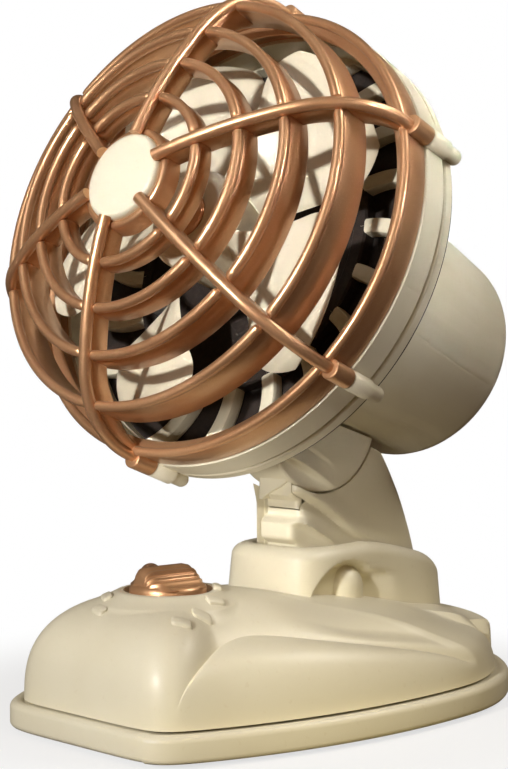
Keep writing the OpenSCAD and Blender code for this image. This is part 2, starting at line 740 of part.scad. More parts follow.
// Rear guard: hub plate, outer lip and curved slats between them
module rear_guard() {
    color(ivory) at_head() difference() {
        union() {
            translate([0, 0, lip_z1]) rotate_extrude() {
                translate([rim_out - guard_in, 0]) square([guard_in + 0.2, lip_z0 - lip_z1]);
                translate([rim_out - guard_in, 0]) square([guard_in - 1, ring_z1 - lip_z1 - seat]);
                square([housing_r + 0.6, guard_t]);
            }
            translate([0, 0, lip_z1]) linear_extrude(guard_t) intersection() {
                circle(r = rim_out - guard_in + 0.5);
                for (k = [0:slats - 1]) rotate(360 * k / slats) translate([swirl_x, swirl_y])
                    difference() {
                        circle(r = swirl_r + slat_w / 2);
                        circle(r = swirl_r - slat_w / 2);
                        translate([-2 * swirl_r, -2 * swirl_r]) square([4 * swirl_r, 2 * swirl_r]);
                    }
            }
        }
        translate([0, 0, lip_z1 - 1]) cylinder(h = 2 * guard_t, r = motor_boss_r + seat);
        for (k = [0:2]) rotate(120 * k + 90) translate([boss_at, 0, lip_z1 - 1])
            cylinder(h = 2 * guard_t, r = screw_r + 0.2);
        for (s = [-1, 1]) translate([s * motor_screw_at, 0, lip_z1 - 1])
            cylinder(h = 2 * guard_t, r = 1.2);
        for (k = [0:spokes - 1]) rotate(spoke_a(k)) translate([collar_at, 0, lip_z1 - 1])
            cylinder(h = 4 * guard_t, r = clip_tip_r + seat);
    }
}
slat_w = 3.4;
swirl_r = 20;
swirl_x = 36;
swirl_y = -4;
motor_screw_at = 8;
// Dark mesh behind the slats
module intake_mesh() {
    color(dark) at_head() translate([0, 0, lip_z1 - mesh_t - seat]) difference() {
        cylinder(h = mesh_t, r = rim_out - 1.4);
        translate([0, 0, -1]) cylinder(h = 2, r = housing_r + 0.3);
    }
}

// Pale ring between grille and guard, with the six clip collars
module rear_ring() {
    color(ivory) at_head() translate([0, 0, ring_z1]) linear_extrude(ring_band) difference() {
        union() {
            circle(r = rim_out + 0.2);
            for (k = [0:spokes - 1]) rotate(spoke_a(k)) translate([collar_at, 0]) circle(r = collar_r);
        }
        circle(r = rim_out - rim_wall - 0.8);
        for (k = [0:spokes - 1]) rotate(spoke_a(k)) translate([collar_at, 0]) circle(r = clip_r + seat);
    }
}
// Clip pins through the collars, with a rounded tip behind
module clip_pins() {
    color(ivory) at_head() for (k = [0:spokes - 1]) rotate(spoke_a(k)) translate([collar_at, 0, 0]) {
        translate([0, 0, ring_z1 - 1]) cylinder(h = ring_band + 1 + clip_in, r = clip_r);
        translate([0, 0, ring_z1 - clip_l + clip_tip_r])
            cylinder(h = clip_l - clip_tip_r - seat, r = clip_tip_r);
        translate([0, 0, ring_z1 - clip_l + clip_tip_r]) sphere(r = clip_tip_r);
    }
}

// Round bead along an arc of the dome's section
module bead_arc(cx, cz, r, a0, a1) {
    translate([cx, 0, cz]) rotate([90, 0, 0]) rotate([0, 0, a0])
        rotate_extrude(angle = a1 - a0) translate([r, 0]) circle(r = spoke_bead_r, $fn = 32);
}
// Section of a spoke's web, from the hub out to the rim
module spoke_section() {
    hub_a = acos(hub_out / crown_r);
    outer = [for (k = [0:6]) let (a = hub_a + (join_a - hub_a) * k / 6)
        [crown_r * cos(a), crown_z + crown_r * sin(a)],
        for (k = [1:6]) let (a = join_a * (1 - k / 6))
        [shoulder_x + shoulder_r * cos(a), shoulder_r * sin(a)]];
    inner = [for (k = [6:-1:0]) let (a = join_a * (1 - k / 6))
        [shoulder_x + (shoulder_r - spoke_deep) * cos(a), (shoulder_r - spoke_deep) * sin(a)],
        for (k = [6:-1:1]) let (a = hub_a + (join_a - hub_a) * (k - 1) / 6)
        [(crown_r - spoke_deep) * cos(a), crown_z + (crown_r - spoke_deep) * sin(a)]];
    polygon(concat(outer, [[rim_r + 0.6, -rim_wall], [rim_in + 0.4, -rim_wall]], inner));
}
// Domed front grille: beaded rings and spokes with webs behind, rim band and collars
module front_grille() {
    hub_a = acos((hub_out - 0.6) / crown_r);
    color(bronze) at_head() difference() {
        union() {
            rotate_extrude() {
                translate([0, hub_back]) square([hub_out, dome_z(hub_out) - hub_back]);
                translate([hub_out - 0.2, dome_z(hub_out)]) circle(r = bead_r, $fn = 32);
            }
            for (k = [0:ring_count - 1]) let (r = ring_r(k), z = dome_z(r)) rotate_extrude() {
                translate([r, z]) circle(r = bead_r, $fn = 32);
                translate([r - web_t / 2, z - ring_deep(k)]) square([web_t, ring_deep(k)]);
            }
            rotate_extrude() {
                translate([rim_r, 0]) circle(r = bead_r + 0.2, $fn = 32);
                translate([rim_in, -rim_wall]) square([rim_r - rim_in, rim_wall - 0.3]);
                translate([rim_out - rim_wall, -rim_band]) square([rim_wall, rim_band - 0.5]);
            }
            for (k = [0:spokes - 1]) rotate(spoke_a(k)) {
                bead_arc(0, crown_z, crown_r, join_a, hub_a);
                bead_arc(shoulder_x, 0, shoulder_r, 3, join_a);
                translate([0, web_t / 2, 0]) rotate([90, 0, 0]) linear_extrude(web_t) spoke_section();
                translate([collar_at, 0, -rim_band]) cylinder(h = rim_band + collar_z, r = collar_r);
            }
        }
        translate([0, 0, cap_seat_z]) cylinder(h = 2 * dome_h, r = cap_r + seat);
        translate([0, 0, hub_back - 1]) cylinder(h = dome_h, r = cap_pin_r + seat);
        for (k = [0:spokes - 1]) rotate(spoke_a(k)) translate([collar_at, 0, -rim_band - 1])
            cylinder(h = 1 + clip_in + gap, r = clip_r + seat);
    }
}
// Plain cap pressed into the grille's hub
module hub_cap() {
    color(ivory) at_head() translate([0, 0, cap_seat_z + seat]) rotate_extrude() {
        polygon([[0, 0], [cap_r, 0], [cap_r, 3],
            for (k = [0:6]) [cap_r - cap_edge + cap_edge * cos(15 * k), 3 + cap_edge * sin(15 * k)],
            [0, 4.6]]);
        translate([0, -3]) square([cap_pin_r, 3.2]);
    }
}

// Motor: can, end cap, bushes, magnets and its fixing screws
module motor_can() {
    color(steel) at_head() translate([0, 0, motor_z - motor_l]) difference() {
        union() {
            cylinder(h = motor_l, r = motor_r);
            cylinder(h = motor_l + motor_boss_h + 1, r = motor_boss_r);
        }
        translate([0, 0, -eps]) cylinder(h = motor_l - motor_wall, r = motor_r - motor_wall);
        translate([0, 0, -eps]) cylinder(h = 2 * motor_l, r = motor_boss_r - 1.2);
        for (s = [-1, 1]) translate([s * motor_screw_at, 0, motor_l - 2]) cylinder(h = 3, r = 1);
    }
}
module motor_end_cap() {
    color(dark) at_head() translate([0, 0, motor_z - motor_l - 2]) difference() {
        union() {
            cylinder(h = 2 - seat, r = motor_r);
            cylinder(h = 6, r = motor_boss_r + 1);
        }
        translate([0, 0, 1]) cylinder(h = 6, r = motor_boss_r - 1.2);
    }
}
module motor_bushes() {
    color([0.75, 0.6, 0.3]) at_head()
        for (z = [motor_z + motor_boss_h + 1 - bush_l, motor_z - motor_l - 0.6]) translate([0, 0, z])
            difference() {
                cylinder(h = bush_l, r = motor_boss_r - 1.2 - 0.02);
                translate([0, 0, -1]) cylinder(h = 2 * bush_l, r = shaft_r + run);
            }
}
module motor_magnets() {
    color(dark) at_head() translate([0, 0, motor_z - motor_l / 2 - armature_l / 2 - 1]) difference() {
        cylinder(h = armature_l + 2, r = motor_r - motor_wall - 0.02);
        translate([0, 0, -1]) cylinder(h = 2 * armature_l, r = motor_r - motor_wall - magnet_t);
        rotate(45) translate([-1.5, -2 * motor_r, -1]) cube([3, 4 * motor_r, 2 * armature_l]);
    }
}
module motor_screws() {
    color(steel) at_head() for (s = [-1, 1]) translate([s * motor_screw_at, 0, motor_z - 1.6]) {
        cylinder(h = lip_z1 + guard_t - motor_z + 1.6 + eps, r = 0.95);
        translate([0, 0, lip_z1 + guard_t - motor_z + 1.6]) cylinder(h = 1.2, r = 1.9);
    }
}
module motor_shaft() {
    color(steel) at_head() translate([0, 0, shaft_back]) cylinder(h = shaft_front - shaft_back, r = shaft_r);
}
module motor_armature() {
    color([0.7, 0.4, 0.2]) at_head() translate([0, 0, motor_z - motor_l / 2 - armature_l / 2]) difference() {
        union() {
            cylinder(h = armature_l, r = armature_r);
            translate([0, 0, -2]) cylinder(h = 4, r = 4);
        }
        translate([0, 0, -9]) cylinder(h = 3 * armature_l, r = shaft_r + 0.02);
        for (k = [0:2]) rotate(120 * k) translate([armature_r - 2.2, -1, -1]) cube([5, 2, 3 * armature_l]);
    }
}

// One blade: a broad pitched sheet with a round tip, as a grid of points
blade_u = 9;
blade_v = 6;
function blade_half_angle(s) = 17 + 14 * s - 25 * max(0, s - 0.66) ^ 2 / 0.116 * 0.55;
function blade_point(s, v, side) =
    let (r = fan_hub_r - 1 + (blade_r - fan_hub_r + 1) * s * (1 - 0.05 * v * v * s),
        a = blade_half_angle(s) * v + 10 * s,
        pitch = 5.8 - 1.2 * s,
        camber = 1.6 * (1 - v * v) * s,
        z = fan_mid + pitch * v + camber + side * blade_t / 2 * (1 - 0.4 * abs(v)))
    [r * cos(a), r * sin(a), z];
fan_mid = (fan_front + fan_back) / 2;
function blade_ring(j) = let (s = j / blade_u) concat(
    [for (i = [0:blade_v]) blade_point(s, -1 + 2 * i / blade_v, -1)],
    [for (i = [blade_v:-1:0]) blade_point(s, -1 + 2 * i / blade_v, 1)]);
// Closed blade: side strips from root to tip, and both ends as strips between the two faces
module blade() {
    n = 2 * (blade_v + 1);
    last = blade_u * n;
    points = [for (j = [0:blade_u]) each blade_ring(j)];
    sides = [for (j = [0:blade_u - 1]) for (i = [0:n - 1])
        let (a = j * n + i, b = j * n + (i + 1) % n)
        each [[a, a + n, b + n], [a, b + n, b]]];
    root = [for (i = [0:blade_v - 1]) each [[i, i + 1, n - 1 - i], [i + 1, n - 2 - i, n - 1 - i]]];
    tip = [for (t = root) [last + t[2], last + t[1], last + t[0]]];
    polyhedron(points, concat(sides, root, tip), convexity = 8);
}
// Fan: cup hub with a shaft boss and pitched blades
module impeller() {
    color(ivory) at_head() {
        difference() {
            union() {
                rotate_extrude() difference() {
                    polygon([[0, fan_back], [fan_hub_r, fan_back], [fan_hub_r, fan_front - 3],
                        for (k = [0:6]) [fan_hub_r - 3 + 3 * cos(15 * k), fan_front - 3 + 3 * sin(15 * k)],
                        [0, fan_front]]);
                    translate([shaft_r + 2.4, fan_back - 1])
                        square([fan_hub_r - fan_wall - shaft_r - 2.4, fan_front - fan_back - fan_wall + 1]);
                }
                for (k = [0:blades - 1]) rotate(360 * (k + 0.5) / blades) blade();
            }
            translate([0, 0, fan_back - 1])
                cylinder(h = shaft_front + 0.2 - fan_back + 1, r = shaft_r + 0.02);
            translate([0, 0, fan_front - 1.6]) cylinder(h = 5, r = 5 + seat);
        }
    }
}
// Cap pressed into the front of the fan's hub
module impeller_cap() {
    color(bronze) at_head() translate([0, 0, fan_front - 1.6 + seat]) rotate_extrude()
        polygon([[0, 0], [5, 0], [5, 1.8], for (k = [0:5]) [5 * cos(18 * k), 1.8 + 1.6 * sin(18 * k)]]);
}

base_tray();
foot_pad();
base_shell();
base_screws();
circuit_board();
usb_socket();
usb_tongue();
speed_switch();
switch_nut();
neck_cowl();
neck_bracket();
neck_screws();
control_knob();
switch_shaft();
head_knuckle();
tilt_pin();
friction_washers();
knuckle_screws();
motor_housing();
housing_screws();
rear_guard();
intake_mesh();
rear_ring();
front_grille();
clip_pins();
hub_cap();
motor_can();
motor_end_cap();
motor_bushes();
motor_magnets();
motor_screws();
motor_shaft();
motor_armature();
impeller();
impeller_cap();
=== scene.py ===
"""A small desk fan with a domed bronze grille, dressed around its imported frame."""
import json
import math

import bpy
from mathutils import Matrix, Vector


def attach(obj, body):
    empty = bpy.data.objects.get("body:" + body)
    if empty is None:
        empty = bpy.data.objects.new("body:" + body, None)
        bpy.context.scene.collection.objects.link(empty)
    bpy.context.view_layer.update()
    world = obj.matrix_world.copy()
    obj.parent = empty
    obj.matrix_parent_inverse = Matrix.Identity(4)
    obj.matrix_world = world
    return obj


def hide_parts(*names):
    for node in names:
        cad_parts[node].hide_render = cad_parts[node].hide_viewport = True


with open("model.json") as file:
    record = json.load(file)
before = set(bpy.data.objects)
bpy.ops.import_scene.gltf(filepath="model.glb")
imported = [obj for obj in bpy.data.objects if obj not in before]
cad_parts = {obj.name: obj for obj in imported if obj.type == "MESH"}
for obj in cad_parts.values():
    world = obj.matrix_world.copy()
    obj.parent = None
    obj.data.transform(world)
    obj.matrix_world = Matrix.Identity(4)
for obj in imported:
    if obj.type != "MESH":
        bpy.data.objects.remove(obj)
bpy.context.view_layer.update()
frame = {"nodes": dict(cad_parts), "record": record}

MM = 0.001

# Head: tilt and place of the rim's plane, and the grille's main sizes, in millimetres
PIVOT = Vector((0, 9.8, 64.7))
HEAD_TILT = 20.6
TILT_UP = 4
AXIS_RISE = 26.3
RIM_REACH = 41.7


def head_at(tilt):
    """Place of the rim's own frame with the head leaning back by tilt degrees."""
    lean = Matrix.Rotation(math.radians(90 - tilt), 4, "X")
    return Matrix.Translation(PIVOT) @ lean @ Matrix.Translation((0, AXIS_RISE, RIM_REACH))


HEAD = head_at(HEAD_TILT)


class Wire:
    """A shader value. Sums and products of wires add the Math nodes that they need."""

    def __init__(self, paint, socket):
        self.paint = paint
        self.socket = socket

    def math(self, operation, other):
        return self.paint.node("ShaderNodeMath", {"operation": operation}, {0: self, 1: other})

    def __add__(self, other):
        return self.math("ADD", other)

    def __radd__(self, other):
        return self.math("ADD", other)

    def __mul__(self, other):
        return self.math("MULTIPLY", other)

    def __rmul__(self, other):
        return self.math("MULTIPLY", other)

    def ramp(self, low, high):
        """0 below low, 1 above high, smooth between them."""
        values = {"Value": self, "From Min": low, "From Max": high}
        return self.paint.node("ShaderNodeMapRange", {"interpolation_type": "SMOOTHSTEP"}, values)


class Paint:
    """A procedural material whose nodes are added one by one."""

    def __init__(self, name, **constants):
        self.material = bpy.data.materials.new(name)
        self.material.use_nodes = True
        self.tree = self.material.node_tree
        self.shader = self.tree.nodes["Principled BSDF"]
        self.place = self.node("ShaderNodeTexCoord", out="Object")
        for key, value in constants.items():
            self.shader.inputs[key.replace("_", " ").title()].default_value = value

    def node(self, kind, settings=None, inputs=None, out=0):
        made = self.tree.nodes.new(kind)
        for key, value in (settings or {}).items():
            setattr(made, key, value)
        for key, value in (inputs or {}).items():
            self.feed(made.inputs[key], value)
        return Wire(self, made.outputs[out])

    def feed(self, socket, value):
        if isinstance(value, Wire):
            self.tree.links.new(value.socket, socket)
        else:
            socket.default_value = value

    def set(self, **values):
        """Links varying values to the shader's own sockets."""
        for key, value in values.items():
            self.feed(self.shader.inputs[key.replace("_", " ").title()], value)

    def noise(self, size, detail):
        """Soft noise whose features are about size millimetres across."""
        values = {"Vector": self.place, "Scale": 1 / (size * MM), "Detail": detail, "Roughness": 0.55}
        return self.node("ShaderNodeTexNoise", {}, values, "Fac")

    def mix(self, share, first, second):
        """Blend of two colours."""
        made = self.tree.nodes.new("ShaderNodeMix")
        made.data_type = "RGBA"
        self.feed(made.inputs["Factor"], share)
        self.feed(made.inputs[6], first)
        self.feed(made.inputs[7], second)
        return Wire(self, made.outputs[2])

    def bump(self, height, depth, strength):
        """Relief of about depth millimetres, fed to the shader's normal."""
        values = {"Height": height, "Distance": depth * MM, "Strength": strength}
        self.set(normal=self.node("ShaderNodeBump", {}, values, "Normal"))


def rgb(red, green, blue):
    """A colour written in screen values from 0 to 255, as the shader's linear one."""
    def linear(value):
        value /= 255
        return value / 12.92 if value <= 0.04045 else ((value + 0.055) / 1.055) ** 2.4
    return (linear(red), linear(green), linear(blue), 1.0)


def ivory_plastic():
    """Warm cream moulding: satin, faintly mottled, with a fine moulded grain."""
    paint = Paint("ivory_plastic", coat_roughness=0.25)
    cloud = paint.noise(26, 2)
    grain = paint.noise(0.35, 2)
    speck = paint.noise(1.6, 4).ramp(0.62, 0.74)
    tone = paint.mix(cloud.ramp(0.3, 0.7), rgb(226, 218, 193), rgb(233, 226, 203))
    paint.set(base_color=paint.mix(speck * 0.25, tone, rgb(216, 203, 172)))
    paint.set(roughness=0.36 + cloud * 0.08 + grain * 0.08, coat_weight=0.12 + speck * 0.05)
    paint.bump(grain, 0.012, 0.35)
    return paint.material


def bronze_plastic():
    """Rose-gold satin lacquer with a fine metallic flake."""
    paint = Paint("bronze_plastic", coat_roughness=0.18)
    flake_size = 0.22 * MM
    cells = {"Vector": paint.place, "Scale": 1 / flake_size}
    flake = paint.node("ShaderNodeTexVoronoi", {}, cells, "Color")
    spark = paint.node("ShaderNodeSeparateColor", {}, {"Color": flake}, "Red")
    cloud = paint.noise(18, 2)
    tone = paint.mix(cloud.ramp(0.3, 0.7), rgb(208, 157, 114), rgb(217, 168, 125))
    paint.set(base_color=paint.mix(spark.ramp(0.72, 1.0) * 0.3, tone, rgb(226, 181, 142)))
    paint.set(metallic=0.6 + spark * 0.1, coat_weight=0.3 + cloud * 0.1)
    paint.set(roughness=0.3 + spark * 0.06 + cloud * 0.05)
    paint.bump(spark, 0.004, 0.3)
    return paint.material


def plain_finish(name, low, high, size, roughness, metallic=0.0, relief=0.01):
    """A quiet finish for pieces inside: two tones, uneven gloss and a little relief."""
    paint = Paint(name)
    cloud = paint.noise(size, 3)
    fine = paint.noise(size / 8, 3)
    paint.set(base_color=paint.mix(cloud.ramp(0.3, 0.7), low, high))
    paint.set(roughness=roughness + fine * 0.15, metallic=metallic + fine * 0.02)
    paint.bump(fine, relief, 0.5)
    return paint.material


FINISHES = {
    "ivory_plastic": ivory_plastic(),
    "bronze_plastic": bronze_plastic(),
    "steel": plain_finish("steel", rgb(150, 152, 155), rgb(178, 180, 182), 3, 0.22, 0.95, 0.004),
    "rubber": plain_finish("rubber", rgb(30, 29, 28), rgb(42, 40, 38), 4, 0.75, 0.0, 0.06),
    "fibre": plain_finish("fibre", rgb(92, 64, 44), rgb(120, 86, 58), 1.5, 0.8, 0.0, 0.05),
    "black_plastic": plain_finish("black_plastic", rgb(26, 25, 25), rgb(36, 34, 33), 5, 0.4, 0.0, 0.01),
    # The mesh finish is near-black as painted shade: it darkens the hollow behind the blades, which is only
    # in shadow
    "mesh": plain_finish("mesh", rgb(30, 22, 17), rgb(44, 31, 24), 1.2, 0.6, 0.2, 0.2),
    "board": plain_finish("board", rgb(24, 74, 44), rgb(34, 92, 56), 6, 0.35, 0.0, 0.01),
    "bush_metal": plain_finish("bush_metal", rgb(164, 130, 74), rgb(186, 150, 90), 1, 0.4, 0.9, 0.01),
    "magnet": plain_finish("magnet", rgb(48, 47, 48), rgb(62, 60, 60), 1, 0.55, 0.5, 0.02),
    "winding": plain_finish("winding", rgb(150, 82, 42), rgb(176, 100, 54), 0.8, 0.35, 0.7, 0.08),
}


# Ways to make a piece
def select_only(piece):
    bpy.ops.object.select_all(action="DESELECT")
    piece.select_set(True)
    bpy.context.view_layer.objects.active = piece


def closed_skin(piece):
    """Joins seams and poles, caps open ends and turns the faces outward."""
    select_only(piece)
    bpy.ops.object.mode_set(mode="EDIT")
    bpy.ops.mesh.select_all(action="SELECT")
    bpy.ops.mesh.remove_doubles(threshold=0.002 * MM)
    bpy.ops.mesh.dissolve_degenerate(threshold=0.001 * MM)
    bpy.ops.mesh.fill_holes(sides=0)
    bpy.ops.mesh.normals_make_consistent(inside=False)
    bpy.ops.object.mode_set(mode="OBJECT")
    return piece


def lofted(name, rings):
    """A skin through closed rings of points, in millimetres."""
    columns = len(rings[0])
    bpy.ops.object.select_all(action="DESELECT")
    bpy.ops.mesh.primitive_grid_add(x_subdivisions=columns, y_subdivisions=len(rings) - 1)
    piece = bpy.context.object
    piece.name = name
    for vertex in piece.data.vertices:
        row, column = divmod(vertex.index, columns + 1)
        vertex.co = Vector(rings[row][column % columns]) * MM
    return closed_skin(piece)


def turned(name, outline, place=Matrix(), steps=144):
    """A closed outline of (radius, height) points, turned about its own axis."""
    bpy.ops.object.select_all(action="DESELECT")
    bpy.ops.mesh.primitive_circle_add(vertices=len(outline), fill_type="NOTHING")
    piece = bpy.context.object
    piece.name = name
    for vertex in piece.data.vertices:
        radius, height = outline[vertex.index]
        vertex.co = Vector((radius, 0, height)) * MM
    bpy.ops.object.mode_set(mode="EDIT")
    bpy.ops.mesh.select_all(action="SELECT")
    bpy.ops.mesh.spin(steps=steps, angle=math.tau, center=(0, 0, 0), axis=(0, 0, 1))
    bpy.ops.object.mode_set(mode="OBJECT")
    closed_skin(piece)
    piece.data.transform(Matrix.Scale(MM, 4) @ place @ Matrix.Scale(1 / MM, 4))
    return piece


def arc(centre, radius, start, end, count):
    """Points of a circle's stretch, from one angle to another."""
    angles = [math.radians(start + (end - start) * k / count) for k in range(count + 1)]
    return [(centre[0] + radius * math.cos(a), centre[1] + radius * math.sin(a)) for a in angles]


def joined(name, pieces):
    bpy.ops.object.select_all(action="DESELECT")
    for piece in pieces:
        piece.select_set(True)
    bpy.context.view_layer.objects.active = pieces[0]
    bpy.ops.object.join()
    made = bpy.context.object
    made.name = name
    return made


def applied(piece, kind, **settings):
    """Adds a modifier and applies it."""
    select_only(piece)
    modifier = piece.modifiers.new(kind.lower(), kind)
    for key, value in settings.items():
        setattr(modifier, key, value)
    bpy.ops.object.modifier_apply(modifier=modifier.name)
    return piece


FEWEST_FACES = 9


def cut(piece, cutter, operation="DIFFERENCE"):
    """Cuts a piece by another; the next solver steps in where one leaves too much or too little."""
    before = piece.data.copy()
    bpy.context.view_layer.update()
    limits = [size + 0.01 * MM for size in piece.dimensions]
    for solver in ("MANIFOLD", "EXACT", "FAST"):
        applied(piece, "BOOLEAN", operation=operation, object=cutter, solver=solver)
        bpy.context.view_layer.update()
        within = all(size <= limit for size, limit in zip(piece.dimensions, limits))
        if within and len(piece.data.polygons) > FEWEST_FACES:
            break
        piece.data = before.copy()
    bpy.data.objects.remove(cutter)
    return piece


def softened(node, width):
    """A merged copy of a built node with its edges rounded."""
    source = frame["nodes"][node]
    piece = source.copy()
    piece.data = source.data.copy()
    piece.name = node + "_skin"
    bpy.context.scene.collection.objects.link(piece)
    piece.parent = None
    piece.matrix_world = source.matrix_world
    select_only(piece)
    bpy.ops.object.mode_set(mode="EDIT")
    bpy.ops.mesh.select_all(action="SELECT")
    bpy.ops.mesh.remove_doubles(threshold=0.002 * MM)
    bpy.ops.mesh.dissolve_limited(angle_limit=math.radians(1))
    bpy.ops.mesh.normals_make_consistent(inside=False)
    bpy.ops.object.mode_set(mode="OBJECT")
    bpy.ops.object.transform_apply(location=True, rotation=True, scale=True)
    return applied(piece, "BEVEL", width=width * MM, segments=3, limit_method="ANGLE",
                   angle_limit=math.radians(38))


def square_ring(count, power):
    """Points of a square with round corners, one unit from its centre, count points to a side."""
    corner = 0.5 ** (1 / power)
    side = [-corner + 2 * corner * k / count for k in range(count)]
    bottom = [(t, -(1 - abs(t) ** power) ** (1 / power)) for t in side]
    ring = []
    for _ in range(4):
        ring += bottom
        bottom = [(-y, x) for x, y in bottom]
    return ring


SLOT_OF = {row["node"]: row["material_slot"] for row in frame["record"]["subparts"]}


def dress(piece, slot):
    piece.data.materials.clear()
    piece.data.materials.append(FINISHES[slot])


def finish_piece(piece, body, slot, *nodes):
    """Smooth shading, finish, body and the nodes that the piece stands for."""
    select_only(piece)
    bpy.ops.object.shade_smooth_by_angle(angle=math.radians(40))
    dress(piece, slot)
    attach(piece, body)
    if nodes:
        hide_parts(*nodes)


for name, node in frame["nodes"].items():
    dress(node, SLOT_OF[name])


# Base: plan, hood and fenders, in millimetres
HALF_L = 59.5
SIDE_R = 145
REAR_R = 43.5
REAR_Y = 16
FRONT_CORNER = 14
LEDGE = 3.2
HOOD_Y = -28
HOOD_H = 22.2
HOOD_SAG = 2.6
HOLLOW_DROP = 6
SHELL_Z = 6.5
FENDER_H = 15.4
FENDER_OUT = 6
FOOT_H = 4.6
TAIL_H = 9.4
TAIL_SPREAD = 22
KNOB_Y = -32.7
WELL_R = 9.3
WELL_Z = 24.1
BUSH_R = 3.7
SOCKET_HALF = 4.9
SOCKET_TALL = 2.05
SOCKET_RISE = 4.2
TRAY_STEP = 0.7

# Low cone round the knob: its top, the radii where its slope changes, and how softly it meets the hood
COLLAR_TOP = 28.9
COLLAR_R = 10.4
COLLAR_FOOT = 14.6
COLLAR_END = 18.5
COLLAR_REACH = 26
COLLAR_BLEND = 1.4

# Raised marks beside the knob: x, y and turn in degrees
LEVEL_MARKS = ((-7.1, -43.5, 147), (-4.4, -48.0, 164), (6.7, -25.0, 139),
               (12.6, -31.7, 75), (14.8, -37.9, 58), (15.4, -44.3, 46))


def reach(ux, uy, qx, qy, radius):
    """How far a ray goes before it leaves a circle."""
    along = ux * qx + uy * qy
    return along + math.sqrt(max(0, along * along - qx * qx - qy * qy + radius * radius))


def plan_r(angle, inset):
    """Distance from the hood's centre to the base's outline, brought in by inset."""
    ux, uy = math.cos(angle), math.sin(angle)
    flank = reach(ux, uy, math.copysign(SIDE_R - REAR_R, -ux), REAR_Y - HOOD_Y, SIDE_R - inset)
    if flank * uy + HOOD_Y >= REAR_Y:
        flank = reach(ux, uy, 0, REAR_Y - HOOD_Y, REAR_R - inset)
    if uy > -0.01:
        return flank
    front = (HALF_L - inset + HOOD_Y) / -uy
    return (flank ** -FRONT_CORNER + front ** -FRONT_CORNER) ** (-1 / FRONT_CORNER)


def hood_power(angle):
    """How square the hood's rise is: fuller at the front."""
    return 2.15 + 0.95 * max(0, -math.sin(angle)) ** 2


def fender_hump(angle):
    """Hump along the fender: its share of the run, and how full it is there."""
    side = math.degrees(math.asin(math.sin(angle)))
    run = (side + 48) / 100
    return run, max(0, 4 * run * (1 - run))


def hood_foot(angle):
    """Distance from the hood's centre to its foot, inside the fenders."""
    run, hump = fender_hump(angle)
    return plan_r(angle, LEDGE + FENDER_OUT * hump ** 0.5 * smooth(run / 0.22 + 0.08))


def hood_share(angle, rise):
    """Share of the foot's distance that the hood still has at a height."""
    power = hood_power(angle)
    return (1 - min(1, rise / HOOD_H) ** power) ** (1 / power)


def crest(angle):
    """Height of the fender, of the tail block or of the plain foot at an angle, and its roundness."""
    run, hump = fender_hump(angle)
    if math.sin(angle) > math.cos(math.radians(TAIL_SPREAD)):
        return TAIL_H, 7
    if hump > 0:
        return max(FOOT_H, FENDER_H * hump ** 0.35 * (1.08 - 0.25 * run)), 2.2
    return FOOT_H, 0


def skirt_point(angle, share):
    """Distance and height along the fender, the tail block or the plain foot."""
    height, power = crest(angle)
    foot = plan_r(angle, LEDGE)
    if not power:
        rise = height * share
        return hood_foot(angle) * hood_share(angle, rise), rise
    top = hood_foot(angle) * hood_share(angle, height)
    turn = math.radians(90 * share)
    return top + (foot - top) * math.cos(turn) ** (2 / power), height * math.sin(turn) ** (2 / power)


def dome_start(angle):
    """Angle on the hood's curve at which it leaves the fender."""
    return math.asin((crest(angle)[0] / HOOD_H) ** (hood_power(angle) / 2))


def hood_sag(y, share):
    """How much lower the hood runs behind the knob, fading in above the fenders."""
    return HOOD_SAG * smooth((y + 24) / 22) * smooth(3 * share)


def dome_point(angle, share):
    """Distance and height along the hood, from the fender to its top."""
    power = hood_power(angle)
    start = dome_start(angle)
    turn = start + (math.radians(90) - start) * share
    radius = hood_foot(angle) * max(0, math.cos(turn)) ** (2 / power)
    rise = HOOD_H * math.sin(turn) ** (2 / power)
    return radius, rise - hood_sag(HOOD_Y + radius * math.sin(angle), share)


def hood_z(x, y):
    """Height of the hood over a place."""
    angle = math.atan2(y - HOOD_Y, x)
    share = min(1, math.hypot(x, y - HOOD_Y) / hood_foot(angle))
    power = hood_power(angle)
    rise = HOOD_H * (1 - share ** power) ** (1 / power)
    start = dome_start(angle)
    above = (math.asin((rise / HOOD_H) ** (power / 2)) - start) / (math.radians(90) - start)
    return SHELL_Z + rise - hood_sag(y, above)


def smooth(value):
    value = min(1, max(0, value))
    return value * value * (3 - 2 * value)


def smooth_max(first, second, soft):
    near = max(0, soft - abs(first - second)) / soft
    return max(first, second) + near * near * soft / 4


def collar_z(x, y):
    """Low cone round the knob, which drops away outside its foot."""
    away = math.hypot(x, y - KNOB_Y)
    slope = 0.62 * max(0, away - COLLAR_R)
    return COLLAR_TOP - slope - 1.1 * max(0, away - COLLAR_FOOT) - 6 * max(0, away - COLLAR_END)


def base_point(angle, radius, rise):
    x = radius * math.cos(angle)
    y = HOOD_Y + radius * math.sin(angle)
    z = SHELL_Z + rise
    if math.hypot(x, y - KNOB_Y) < COLLAR_REACH:
        z = smooth_max(z, collar_z(x, y), COLLAR_BLEND)
    return (x, y, z)


TURN = [math.radians(k) for k in range(360)]


